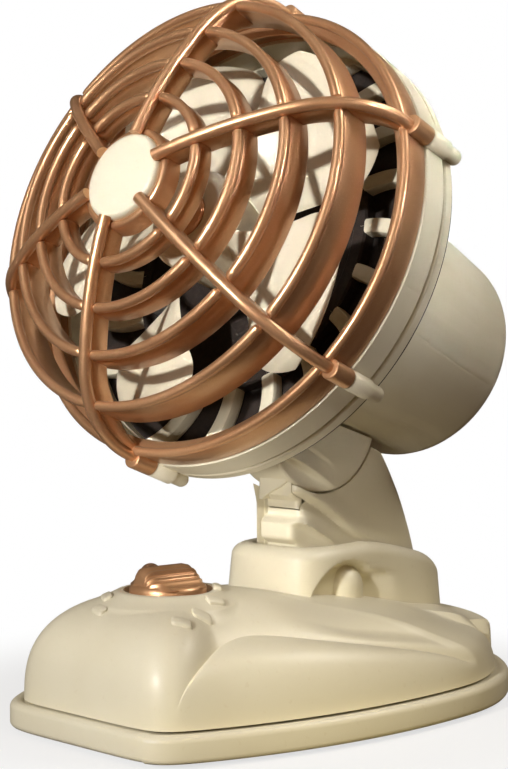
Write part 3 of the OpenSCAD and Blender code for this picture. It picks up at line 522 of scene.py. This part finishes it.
def base_shell():
    rings = [[base_point(a, 0, HOOD_H - HOLLOW_DROP) for a in TURN]]
    for share in (0.5, 0.75, 0.87):
        rise = HOOD_H * (1 - share ** 2.2) ** 0.45
        rings.append([(share * hood_foot(a) * math.cos(a), HOOD_Y + share * hood_foot(a) * math.sin(a),
                       SHELL_Z + max(0.1, rise - HOLLOW_DROP)) for a in TURN])
    rings.append([base_point(a, plan_r(a, LEDGE + 2.2), 0.05) for a in TURN])
    for k in range(17):
        rings.append([base_point(a, *skirt_point(a, k / 16)) for a in TURN])
    for k in range(1, 81):
        rings.append([base_point(a, *dome_point(a, k / 80)) for a in TURN])
    shell = lofted("hood", rings)
    well = [(0, 12), (BUSH_R, 12), (BUSH_R, WELL_Z), (WELL_R - 0.5, WELL_Z), (WELL_R, WELL_Z + 0.5),
            (WELL_R, 40), (0, 40)]
    cut(shell, turned("well_cutter", well, Matrix.Translation((0, KNOB_Y, 0))))
    socket = [[(x * SOCKET_HALF, y, SHELL_Z + SOCKET_RISE + z * SOCKET_TALL) for x, z in square_ring(8, 5)]
              for y in (47, 64)]
    return cut(shell, lofted("socket_cutter", socket))


def level_pads():
    """Small raised marks beside the knob, each one on the slope of its collar."""
    pads = []
    for x, y, turn in LEVEL_MARKS:
        ring = [(px * 2.0, py * 0.95) for px, py in square_ring(8, 6)]
        lean = Matrix.Rotation(math.radians(turn), 4, "Z")
        rings = []
        for rise, shrink in ((-1.0, 1.0), (0.45, 1.0), (0.62, 0.93), (0.7, 0.8)):
            points = []
            for px, py in ring:
                spot = lean @ Vector((px * shrink, py * shrink, 0))
                px, py = x + spot.x, y + spot.y
                ground = smooth_max(hood_z(px, py), collar_z(px, py), COLLAR_BLEND)
                points.append((px, py, ground + rise))
            rings.append(points)
        pads.append(lofted("pad", rings))
    return joined("level_pads", pads)


def base_tray():
    """Rounded ledge under the hood; its front steps in a little left of the corner."""
    outline = [(6, 0.8), (1.6, 0.8)] + arc((1.2, 2.0), 1.2, 270, 180, 5) + [(0, 3.2)]
    outline += arc((1.45, 4.95), 1.45, 180, 60, 9) + [(2.5, 6.05), (2.8, 5.95), (5.4, 5.95), (5.4, 3.2)]
    rings = []
    for inset, z in outline:
        ring = []
        for k in range(720):
            angle = math.radians(k / 2)
            radius = plan_r(angle, inset)
            x, y = radius * math.cos(angle), HOOD_Y + radius * math.sin(angle)
            if x < 19 and inset < 2.6:
                y += TRAY_STEP * smooth((-40 - y) / 14)
            ring.append((x, y, z))
        rings.append(ring)
    return lofted("tray", rings)


# Neck cowl on the hood, with an arch and a round boss on each side, in millimetres
COWL_HALF = 14.5
COWL_LONG = 27
COWL_Y = 23
COWL_FRONT = COWL_Y - COWL_LONG
COWL_TOP = 34.8
COWL_LEAN = 0.6
COWL_EDGE = 3
COWL_ROLL = 1.1
ARCH_Y = 9.8
ARCH_Z = 19.6
ARCH_R = 12.2
ARCH_DEEP = 3.0
BOSS_R = 4.9


def cowl_point(angle, inset):
    """Place on the cowl's square outline with round corners, brought in by inset."""
    def eased(value):
        return math.copysign(abs(value) ** 0.4, value)
    x = (COWL_HALF - inset) * eased(math.cos(angle))
    return x, COWL_Y + (COWL_LONG - inset) * eased(math.sin(angle))


def cowl_height(y):
    """Height of the cowl's top, which falls away to the rear."""
    share = (y - COWL_FRONT) / (2 * COWL_LONG)
    if share < 0.42:
        return COWL_TOP
    return COWL_TOP - 15 * (share - 0.42) ** 1.3 - 60 * max(0, share - 0.8) ** 2


def even_turn(k, count):
    """Angle that spreads points evenly round the cowl's square outline."""
    quarter, part = divmod(4 * k / count, 1)
    part = part * 2 - 1
    lean = math.copysign(abs(part) ** 2.4, part)
    return math.radians(90 * quarter + 45 * (1 + lean))


def cowl_section():
    """Steps (inset, drop under the top, share of the wall) up the wall, over its edge and inward."""
    wall = [(COWL_LEAN * k / 20, None, k / 20) for k in range(21)]
    over = [math.radians(degrees) for degrees in range(10, 91, 10)]
    brow = COWL_LEAN + COWL_EDGE
    edge = [(brow - COWL_EDGE * math.cos(t), COWL_EDGE - COWL_EDGE * math.sin(t), 1) for t in over]
    roll = [(4.1 + COWL_ROLL * math.sin(t), COWL_ROLL - COWL_ROLL * math.cos(t), 1) for t in over[::2]]
    return wall + edge + roll


def neck_cowl():
    turns = [even_turn(k, 640) for k in range(640)]
    rings = []
    for inset, drop, share in cowl_section():
        ring = []
        for angle in turns:
            x, y = cowl_point(angle, inset)
            top = cowl_height(y)
            foot = hood_z(*cowl_point(angle, 0)) - 0.3
            z = foot + (top - COWL_EDGE - foot) * share if drop is None else top - drop
            if abs(x) > 8:
                arch = smooth((ARCH_R - math.hypot(y - ARCH_Y, z - ARCH_Z)) / 1.6)
                x -= math.copysign(ARCH_DEEP * arch * (1 - smooth((inset - COWL_LEAN) / 2.4)), x)
            ring.append((x, y, z))
        rings.append(ring)
    inside = [cowl_point(a, 5.4) for a in turns]
    rings.append([(x, y, 30.4 - 0.096 * max(0, y - 3)) for x, y in inside])
    cowl = lofted("cowl_skin", rings)
    bosses = []
    for side in (-1, 1):
        outline = [(0, 20), (BOSS_R, 20)] + arc((0, 25.4), BOSS_R, 0, 90, 12)
        bosses.append(turned("boss", outline, Matrix.Translation((side * 9.6, 12.4, 0)), 48))
    return joined("neck_cowl_skin", [cowl, *bosses])


# Neck and lobe: draped ridges run down and back over their flanks
RIDGE_ONE = ((1.5, 47.5), (9.4, 43.6), (18.7, 37.6), (26.5, 33.8), (42.0, 29.1))
RIDGE_TWO = ((1.5, 40.6), (7.7, 37.6), (14.0, 34.0), (30.0, 25.0))
HORN_LOW = ((-9.0, 57.5), (-1.6, 55.0), (4.5, 52.2), (11.9, 47.9), (20.0, 44.0))
HORN_HIGH = ((-9.0, 62.5), (4.5, 57.0), (13.6, 51.8), (22.0, 46.0))
NECK_HALF = 7.7
NECK_FRONT = 2.5
NECK_LOW = 30.0
NECK_TALL = 40
NECK_FOOT = 30.2
PLEAT_DEEP = 2.2
GROOVE_X = -5.2
GROOVE_HALF = 1.6
GROOVE_DEEP = 2.6
BACK_R = 83.4
BACK_Y = -34.7
BACK_Z = 3.1
SEAT_R = 18.7
CHANNEL_R = 23.1
CHANNEL_HALF = 5.4
PLUG_R = 22.8
PLUG_HALF = 5.2
LOBE_R = 18.3
LOBE_EDGE = 0.8
TONGUE_Y = 14.8
TONGUE_HALF = 3.2


def bent(points, along):
    """Height of a bent line at a place along it, rounded at its bends."""
    total = 0
    for shift in (-2, -1, 0, 1, 2):
        at = min(points[-1][0], max(points[0][0], along + shift))
        for (y0, z0), (y1, z1) in zip(points, points[1:]):
            if at <= y1:
                total += z0 + (z1 - z0) * (at - y0) / (y1 - y0)
                break
    return total / 5


def neck_inset(y, z):
    """How far the neck's right flank draws in between its ridges."""
    one, two = bent(RIDGE_ONE, y), bent(RIDGE_TWO, y)
    fade = 1 - smooth((y - 3) / 36)
    if z > one:
        return 0.9 * smooth((z - one) / 6) * fade
    if z > two:
        share = (one - z) / max(0.5, one - two)
        return 2.5 * fade * smooth((one - z) / 1.3) * max(0, 1 - share) ** 0.7
    return 2.2 * smooth((two - z) / 1.2) * (1 - smooth((y - 3) / 14))


def neck_loft(name):
    """The neck's whole form, before the lobe's seat is cut."""
    unit = square_ring(60, 9)
    rings = []
    for k in range(91):
        z = NECK_LOW + NECK_TALL * k / 90
        rise = z - NECK_FOOT
        pleat = smooth((rise - 4.6) / 1.8) - smooth((rise - 9.6) / 1.6) + smooth((rise - 14.4) / 1.6)
        front = NECK_FRONT - PLEAT_DEEP * pleat
        rear = BACK_Y + math.sqrt(BACK_R ** 2 - (z - BACK_Z) ** 2)
        ring = []
        for ux, uy in unit:
            edge = front if ux > -0.78 else NECK_FRONT - 1.0 - 1.2 * smooth((z - 43) / 6)
            y = (edge + rear) / 2 + (rear - edge) / 2 * uy
            x = ux * (NECK_HALF - (neck_inset(y, z) if ux > 0 else 0))
            if uy < -0.8:
                y += GROOVE_DEEP * smooth((GROOVE_HALF - abs(x - GROOVE_X)) / 0.4)
            ring.append((x, y, z))
        rings.append(ring)
    return lofted(name, rings)


ACROSS = Matrix.Translation(PIVOT) @ Matrix.Rotation(math.radians(90), 4, "Y")


def drum(name, radius, half):
    """A plain round cutter across the neck, centred on the tilt axis."""
    return turned(name, [(0, -half), (radius, -half), (radius, half), (0, half)], ACROSS, 192)


def post(name, width, middle, half, heights):
    """A plain upright block, centred on x."""
    rings = []
    for z in heights:
        rings.append([(x * width, middle + y * half, z) for x, y in square_ring(4, 30)])
    return lofted(name, rings)


def neck_bracket():
    """The neck with a round seat and channel for the lobe, and a hidden tongue that holds the pin."""
    neck = neck_loft("neck")
    cut(neck, drum("seat_cutter", SEAT_R, 20))
    cut(neck, drum("channel_cutter", CHANNEL_R, CHANNEL_HALF))
    raised = [(0, -100), (26.0, -100), (31.8, -15.8), (0, -15.8)]
    cut(neck, turned("housing_cutter", raised, head_at(HEAD_TILT + TILT_UP)))
    eye = turned("eye", [(2.55, -2.2), (7, -2.2), (7, 2.2), (2.55, 2.2)], ACROSS, 96)
    return joined("neck_skin", [neck, eye, post("tongue", 2.2, TONGUE_Y, TONGUE_HALF, (38, 60.5))])


def lobe_inset(y, z):
    """How far the lobe's flanks draw in below its horn."""
    low, high = bent(HORN_LOW, y), bent(HORN_HIGH, y)
    fade = 1 - smooth((y - 3) / 12)
    if z > high:
        return 0
    if z > low:
        share = (high - z) / max(0.5, high - low)
        return 1.0 * fade * smooth((high - z) / 0.9) * max(0, 1 - share)
    return 2.0 * fade * smooth((low - z) / 1.4)


def lobe_nose():
    """Small beak at the lobe's front, over the neck's pleats."""
    left = -3.7
    rear = 4
    rings = []
    for k in range(41):
        z = 44.9 + 11.5 * k / 40
        right = 5.0 - 1.0 * smooth((z - 50.5) / 5) - 7.6 * (1 - smooth((z - 44.6) / 6.5)) ** 1.5
        front = -0.4 - 0.06 * (z - 44.9)
        wide = max(0.35, (right - left) / 2)
        rings.append([((left + right) / 2 + x * wide, (front + rear) / 2 + y * (rear - front) / 2, z)
                      for x, y in square_ring(24, 10)])
    return lofted("nose", rings)


def lobe_plug():
    """What of the neck's form the lobe carries in the neck's channel, at the front alone."""
    plug = neck_loft("plug")
    cut(plug, drum("core", PLUG_R, PLUG_HALF), "INTERSECT")
    return cut(plug, post("rear_cutter", 20, 30, 26, (20, 90)))


def head_knuckle():
    around = [math.radians(2 * k) for k in range(180)]
    flat_r = LOBE_R - LOBE_EDGE
    half = [(flat_r * math.sqrt(k / 60), 0) for k in range(61)]
    over = [math.radians(degrees) for degrees in range(15, 91, 15)]
    half += [(flat_r + LOBE_EDGE * math.sin(t), LOBE_EDGE - LOBE_EDGE * math.cos(t)) for t in over]
    rings = []
    for side, steps in ((-1, half), (1, half[::-1])):
        for radius, drop in steps:
            ring = []
            for a in around:
                y, z = PIVOT.y + radius * math.cos(a), PIVOT.z + radius * math.sin(a)
                ring.append((side * (NECK_HALF + 0.02 - lobe_inset(y, z) - drop), y, z))
            rings.append(ring)
    lobe = lofted("lobe", rings)
    cut(lobe, post("slot_cutter", 3.1, PIVOT.y + 5, 14, (30, 67)))
    cut(lobe, turned("housing_cutter", [(0, -100), (25.7, -100), (31.8, -5.8), (0, -5.8)], HEAD))
    return joined("knuckle_skin", [lobe, lobe_nose(), lobe_plug()])


# Knob: a round skirt with a ridged grip across it, and a small dome beside the grip, dark as painted shade
# for the skirt's back in shadow
GRIP_TURN = 80.5
GRIP_HALF = 6.9
GRIP_ROUND = 2.5
GRIP_FOOT = 29.5
DOME_R = 2.3


def control_knob():
    place = Matrix.Translation((0, KNOB_Y, 0)) @ Matrix.Rotation(math.radians(GRIP_TURN), 4, "Z")
    outline = [(0, 25.0), (8.2, 25.0), (8.5, 25.3), (8.35, 26.6), (8.1, 28.0)]
    outline += arc((6.7, 28.9), 1.35, 10, 80, 7) + [(6.2, 30.3), (0, 30.4)]
    skirt = turned("skirt", outline, place)
    rings = []
    for k in range(61):
        along = -GRIP_HALF + 2 * GRIP_HALF * k / 60
        end = max(0, (abs(along) - GRIP_HALF + GRIP_ROUND) / GRIP_ROUND)
        lift = (1 - end ** 2.2) ** 0.5 if end < 1 else 0
        half = 4.3 - 1.3 * end * end
        ring = []
        for front, rise in bar_section():
            spread = 1 + 0.45 * (1 - rise / 3.4) ** 3 * (1 - end)
            height = GRIP_FOOT + (rise + 0.8) * (0.25 + 0.75 * lift)
            ring.append(place @ Vector((along, front * half * spread / 3.7, height)))
        rings.append(ring)
    bar = lofted("bar", rings)
    # The small dome stands for the skirt's back, which lies in shadow; its dark finish is painted shade
    dome = turned("dome", [(0, 30), (DOME_R, 30)] + arc((0, 31.6), DOME_R, 0, 90, 10),
                  place @ Matrix.Translation((-1.2, 4.6, 0)), 48)
    return joined("knob_skin", [skirt, bar]), dome


def bar_section():
    """Cross-section of the grip: a slanted front face with three ridges, flat top, plain back."""
    points = [(-3.7, -0.6)]
    for k in range(25):
        share = k / 24
        ridge = 0.28 * math.sin(math.radians(share * 3 * 360 - 90))
        points.append((-3.6 + 3.0 * share - ridge * 0.7, 0.2 + 2.9 * share + ridge * 0.7))
    points += [(0.2, 3.4), (1.6, 3.4), (2.4, 3.1), (2.9, 2.4), (3.2, 1.2), (3.7, -0.6)]
    return points


# Head: grille, hub, clips, ring and blades, in the rim's own frame
RIM_R = 50.6
DOME_H = 28
SHOULDER_R = 21.5
SHOULDER_X = RIM_R - SHOULDER_R
CROWN_R = (SHOULDER_X ** 2 + DOME_H ** 2 - SHOULDER_R ** 2) / (2 * (DOME_H - SHOULDER_R))
CROWN_Z = DOME_H - CROWN_R
JOIN_A = math.atan2(-CROWN_Z, SHOULDER_X)
RINGS = (18.1, 26.9, 35.7, 44.5)
SPOKE_TURN = 6.4
SPOKES = [math.radians(90 - SPOKE_TURN + 60 * k) for k in range(6)]
SPOKE_BEAD = 1.27
RING_BEAD = 1.05
WEB_HALF = 0.8
COLLAR_AT = 51.2
SLATS = 20
BLADES = 5
FAN_MID = 0.05


def dome_z(radius):
    """Height of the grille's dome over a radius: a flat crown that rolls over a shoulder."""
    if radius < SHOULDER_X + SHOULDER_R * math.cos(JOIN_A):
        return CROWN_Z + math.sqrt(CROWN_R ** 2 - radius ** 2)
    return math.sqrt(SHOULDER_R ** 2 - (radius - SHOULDER_X) ** 2)


def rib_section(bead, deep, grow=1.0):
    """Bead with a web behind it: (across, out) points; grow shrinks the bead at its ends."""
    circle = arc((0, 0), bead, -38, 218, 14)
    points = [(x * max(grow, 0.62), y * grow - 0.4 * (1 - grow)) for x, y in circle]
    side = [(WEB_HALF * 0.8, -bead * 0.9), (WEB_HALF, -bead - 0.5), (WEB_HALF, 0.5 - deep),
            (WEB_HALF - 0.4, -deep)]
    return points + [(-x, y) for x, y in side] + side[::-1]


def spoke_path():
    """Points (radius, height, direction out) along a spoke from the hub over the dome to its collar."""
    path = []
    first = math.asin(9.0 / CROWN_R)
    last = math.radians(90) - JOIN_A
    for k in range(25):
        lean = first + (last - first) * k / 24
        path.append((CROWN_R * math.sin(lean), CROWN_Z + CROWN_R * math.cos(lean), lean))
    for k in range(1, 25):
        lean = last + (math.radians(90) - last) * k / 24
        path.append((SHOULDER_X + SHOULDER_R * math.sin(lean), SHOULDER_R * math.cos(lean), lean))
    path += [(RIM_R, -1.5, math.radians(90)), (RIM_R, -4, math.radians(90))]
    return path


def spoke(angle):
    """One bent rib of the grille; its web is deepest over the crown."""
    rings = []
    out, across = (math.cos(angle), math.sin(angle)), (-math.sin(angle), math.cos(angle))
    for radius, height, lean in spoke_path():
        deep = 5.4 - 2.9 * min(1, max(0, lean - 1.0) / 0.57)
        ring = []
        for t, n in rib_section(SPOKE_BEAD, deep):
            r = radius + (n + 0.2) * math.sin(lean)
            ring.append(HEAD @ Vector((r * out[0] + t * across[0], r * out[1] + t * across[1],
                                       height + (n + 0.2) * math.cos(lean))))
        rings.append(ring)
    return lofted("spoke", rings)


def ring_piece(radius, deep, start):
    """A stretch of one ring between two spokes: its bead ends round just before them."""
    height = dome_z(radius) - 0.35
    rings = []
    for k in range(41):
        share = 0.5 - 0.5 * math.cos(math.pi * k / 40)
        angle = start + math.radians(60) * share
        away = min(share, 1 - share) * math.radians(60) * radius - 1.15
        grow = 0.05
        if away > 0:
            grow = math.sqrt(max(0.0025, 1 - max(0, 1 - away / RING_BEAD) ** 2))
        ring = []
        for t, n in rib_section(RING_BEAD, deep, grow):
            r = radius + t
            ring.append(HEAD @ Vector((r * math.cos(angle), r * math.sin(angle), height + n)))
        rings.append(ring)
    return lofted("ring", rings)


def collar_place(angle):
    return HEAD @ Matrix.Translation((COLLAR_AT * math.cos(angle), COLLAR_AT * math.sin(angle), 0))


def front_grille():
    rim = [(48.3, -6.2), (48.1, -6.0), (47.9, -3.2), (46.8, -2.2), (46.6, -1.8), (46.8, -1.4), (48.8, -0.5)]
    rim += arc((49.6, 0.0), 1.0, 190, -35, 12) + [(50.2, -0.85), (50.3, -1.3), (50.3, -5.9), (50.1, -6.2)]
    hub = [(0, 21.6), (10.4, 21.6), (11.0, 22.1)] + arc((10.1, 25.6), 0.9, 0, 150, 8)
    hub += [(9.2, 24.95), (0, 24.95)]
    pieces = [turned("rim", rim, HEAD, 288), turned("hub", hub, HEAD)]
    for angle in SPOKES:
        pieces.append(spoke(angle))
        collar = [(0, -6.2), (1.9, -6.2), (2.1, -6.0)] + arc((1.8, -0.7), 0.3, 0, 90, 4) + [(0, -0.4)]
        pieces.append(turned("collar", collar, collar_place(angle), 64))
        for k, radius in enumerate(RINGS):
            pieces.append(ring_piece(radius, 4.4 + 1.3 * k, angle))
    return joined("grille_skin", pieces)


def hub_cap():
    outline = [(0, 25.05), (8.8, 25.05), (9.4, 25.6), (9.4, 26.4)] + arc((8.2, 26.5), 1.2, 0, 85, 8)
    outline += [(5, 28.0), (0, 28.15)]
    return turned("cap_skin", outline, HEAD)


def rear_ring():
    outline = [(47.4, -6.25), (50.2, -6.25), (50.5, -6.55), (50.5, -12.3), (50.2, -12.65), (47.4, -12.65)]
    pieces = [turned("ring_skin", outline, HEAD, 288)]
    for angle in SPOKES:
        collar = [(0, -12.65), (1.8, -12.65), (2.1, -12.35), (2.1, -6.5), (1.9, -6.25), (0, -6.25)]
        pieces.append(turned("collar", collar, collar_place(angle), 64))
    return joined("rear_ring_skin", pieces)


def slat(turn):
    """One curved slat of the rear guard, a stretch of a round bar that leans on the plate and the lip."""
    rings = []
    for k in range(17):
        sweep = math.radians(60 + 57 * k / 16)
        ring = []
        for across, deep in square_ring(6, 6):
            bow = 20 + 1.7 * across
            spot = Vector((36 + bow * math.cos(sweep), bow * math.sin(sweep) - 4, 1.6 * deep - 14.25))
            ring.append(HEAD @ Matrix.Rotation(math.radians(turn), 4, "Z") @ spot)
        rings.append(ring)
    return lofted("slat", rings)


def rear_guard():
    lip = [(46.8, -15.85), (50.1, -15.85), (50.4, -15.55), (50.4, -13.65), (50.1, -13.35), (49.4, -13.35),
           (49.4, -12.75), (46.8, -12.75)]
    slats = [slat(360 * k / SLATS) for k in range(SLATS)]
    return joined("guard_skin", [turned("lip", lip, HEAD, 288), *slats])


def painted_shade_plate():
    """Plate in the guard's middle, behind the blades, in the near-black mesh finish: painted shade where
    the cream plate only lies in shadow.
    """
    plate = [(4.2, -15.85), (31.6, -15.85), (31.6, -13.1), (31.2, -12.65), (28.6, -12.65), (28.2, -13.0),
             (12.4, -13.0), (12.0, -12.65), (4.2, -12.65)]
    return turned("painted_shade_plate", plate, HEAD, 192)


def clip_pins():
    tip = [(x, -y) for x, y in arc((0, 15.75), 1.7, 0, 90, 8)]
    pin = [(0, -12.7), (1.7, -12.7), (1.7, -15.75)] + tip
    return joined("pins_skin", [turned("pin", pin, collar_place(angle), 48) for angle in SPOKES])


def blade(turn):
    """A broad swept blade with a rounded tip."""
    rings = []
    for k in range(33):
        s = k / 32
        half = 19 + 14 * s - 118.534 * max(0, s - 0.66) ** 2
        over = [(-1 + 2 * j / 28, 1) for j in range(29)]
        ring = []
        for v, side in over + [(v, -1) for v, _ in reversed(over[1:-1])]:
            radius = 10 + 33 * s * (1 - 0.05 * v * v * s)
            angle = math.radians(half * v + 10 * s + turn)
            thick = 0.75 * (1 - abs(v) ** 5) ** 0.5 * (1 - max(0, s - 0.93) * 12)
            z = FAN_MID + (5.8 - 1.2 * s) * v + 1.6 * (1 - v * v) * s + side * thick
            ring.append(HEAD @ Vector((radius * math.cos(angle), radius * math.sin(angle), z)))
        rings.append(ring)
    return lofted("blade", rings)


def impeller():
    hub = [(2.0, -7.55), (10.4, -7.55), (11, -7.0)] + arc((8.2, 4.95), 2.8, 0, 85, 8)
    hub += [(5.1, 7.7), (5.1, 6.2), (2.0, 6.2)]
    blades = [blade(360 * k / BLADES + 36) for k in range(BLADES)]
    return joined("impeller_skin", [turned("fan_hub", hub, HEAD), *blades])


finish_piece(base_shell(), "base", "ivory_plastic", "base_shell")
finish_piece(level_pads(), "base", "ivory_plastic")
finish_piece(base_tray(), "base", "ivory_plastic", "base_tray")
finish_piece(neck_cowl(), "base", "ivory_plastic", "neck_cowl")
finish_piece(neck_bracket(), "base", "ivory_plastic", "neck_bracket")
finish_piece(head_knuckle(), "head", "ivory_plastic", "head_knuckle")
finish_piece(softened("motor_housing", 0.4), "head", "ivory_plastic", "motor_housing")
finish_piece(rear_guard(), "head", "ivory_plastic", "rear_guard")
# The plate behind the blades is dark as painted shade for the shadowed hollow
finish_piece(painted_shade_plate(), "head", "mesh")
knob, dome = control_knob()
finish_piece(knob, "knob", "bronze_plastic", "control_knob")
# Dark finish on the small dome: painted shade for the knob skirt's shadowed back
finish_piece(dome, "knob", "fibre")
finish_piece(front_grille(), "head", "bronze_plastic", "front_grille")
finish_piece(hub_cap(), "head", "ivory_plastic", "hub_cap")
finish_piece(rear_ring(), "head", "ivory_plastic", "rear_ring")
finish_piece(clip_pins(), "head", "ivory_plastic", "clip_pins")
finish_piece(impeller(), "rotor", "ivory_plastic", "impeller")


# Stage: floor, lamps and camera
CAMERA_AT = Vector((235.3, -266.5, 83.0))
CAMERA_AZIMUTH = 42.1
CAMERA_DROP = 2.0
LENS = 75.0
SENSOR = 36.0
FLOOR_R = 6
SHADE_NEAR = 0.055
SHADE_FAR = 0.11


def stage_floor():
    """Pale floor that takes the shadow near the object and is plain white further off."""
    bpy.ops.object.select_all(action="DESELECT")
    bpy.ops.mesh.primitive_circle_add(vertices=96, radius=FLOOR_R, fill_type="NGON", location=(0, 0, 0))
    floor = bpy.context.object
    floor.name = "floor"
    paint = Paint("floor_white", roughness=0.9)
    rays = paint.tree.nodes.new("ShaderNodeLightPath")
    seen = Wire(paint, rays.outputs["Is Camera Ray"])
    paint.set(base_color=paint.mix(seen, rgb(64, 46, 31), rgb(246, 244, 241)))
    distance = paint.node("ShaderNodeVectorMath", {"operation": "LENGTH"}, {0: paint.place}, "Value")
    away = distance.ramp(SHADE_NEAR, SHADE_FAR)
    white = paint.node("ShaderNodeEmission", {}, {"Color": (1, 1, 1, 1), "Strength": 1.0})
    surface = Wire(paint, paint.shader.outputs[0])
    blend = paint.node("ShaderNodeMixShader", {}, {0: seen * (0.7 + away * 0.3), 1: surface, 2: white})
    paint.feed(paint.tree.nodes["Material Output"].inputs["Surface"], blend)
    floor.data.materials.append(paint.material)


def studio_world():
    """Soft warm fill, which the camera sees as plain white."""
    world = bpy.data.worlds.new("studio")
    bpy.context.scene.world = world
    world.use_nodes = True
    tree = world.node_tree
    back = tree.nodes["Background"]
    rays = tree.nodes.new("ShaderNodeLightPath")
    tint = tree.nodes.new("ShaderNodeMix")
    tint.data_type = "RGBA"
    tree.links.new(rays.outputs["Is Camera Ray"], tint.inputs["Factor"])
    tint.inputs[6].default_value = (0.056, 0.035, 0.019, 1)
    tint.inputs[7].default_value = (1, 1, 1, 1)
    tree.links.new(tint.outputs[2], back.inputs["Color"])


def lamp(name, place, aim, size, power, colour, spread=180):
    """A square soft lamp, in millimetres, aimed at a point; its beam opens by spread degrees."""
    data = bpy.data.lights.new(name, "AREA")
    data.spread = math.radians(spread)
    data.size = size * MM
    data.energy = power
    data.color = colour
    made = bpy.data.objects.new(name, data)
    bpy.context.scene.collection.objects.link(made)
    made.location = Vector(place) * MM
    made.rotation_euler = (Vector(aim) - Vector(place)).to_track_quat("-Z", "Y").to_euler()


def stage_camera():
    data = bpy.data.cameras.new("camera")
    data.lens = LENS
    data.sensor_width = SENSOR
    data.clip_start = 0.01
    data.clip_end = 20
    made = bpy.data.objects.new("camera", data)
    bpy.context.scene.collection.objects.link(made)
    made.location = CAMERA_AT * MM
    made.rotation_euler = (math.radians(90 - CAMERA_DROP), 0, math.radians(CAMERA_AZIMUTH))
    bpy.context.scene.camera = made


stage_floor()
studio_world()
lamp("key", (90, -805, 320), (0, -10, 75), 30, 5.0, (1.0, 0.985, 0.955))
lamp("cage", (90, -805, 320), (0, -25, 106), 30, 0.016, (1.0, 0.985, 0.955), 14)
lamp("front", (-60, -640, 700), (0, -20, 60), 420, 1.0, (1.0, 0.985, 0.95))
lamp("back", (360, 400, 690), (0, 0, 80), 220, 2.7, (1.0, 0.945, 0.86))
lamp("edge", (700, 150, 420), (30, 10, 136), 80, 0.025, (1.0, 0.98, 0.95), 8)
lamp("neck", (40, -160, 52), (0, 0, 50), 20, 0.0018, (1.0, 0.97, 0.92), 18)
lamp("side", (560, -460, 120), (0, 0, 40), 300, 0.17, (1.0, 0.62, 0.3))
lamp("low", (360, -330, 24), (38, -14, -22), 40, 0.009, (1.0, 0.86, 0.42), 18)
stage_camera()
bpy.context.scene.view_settings.view_transform = "Standard"
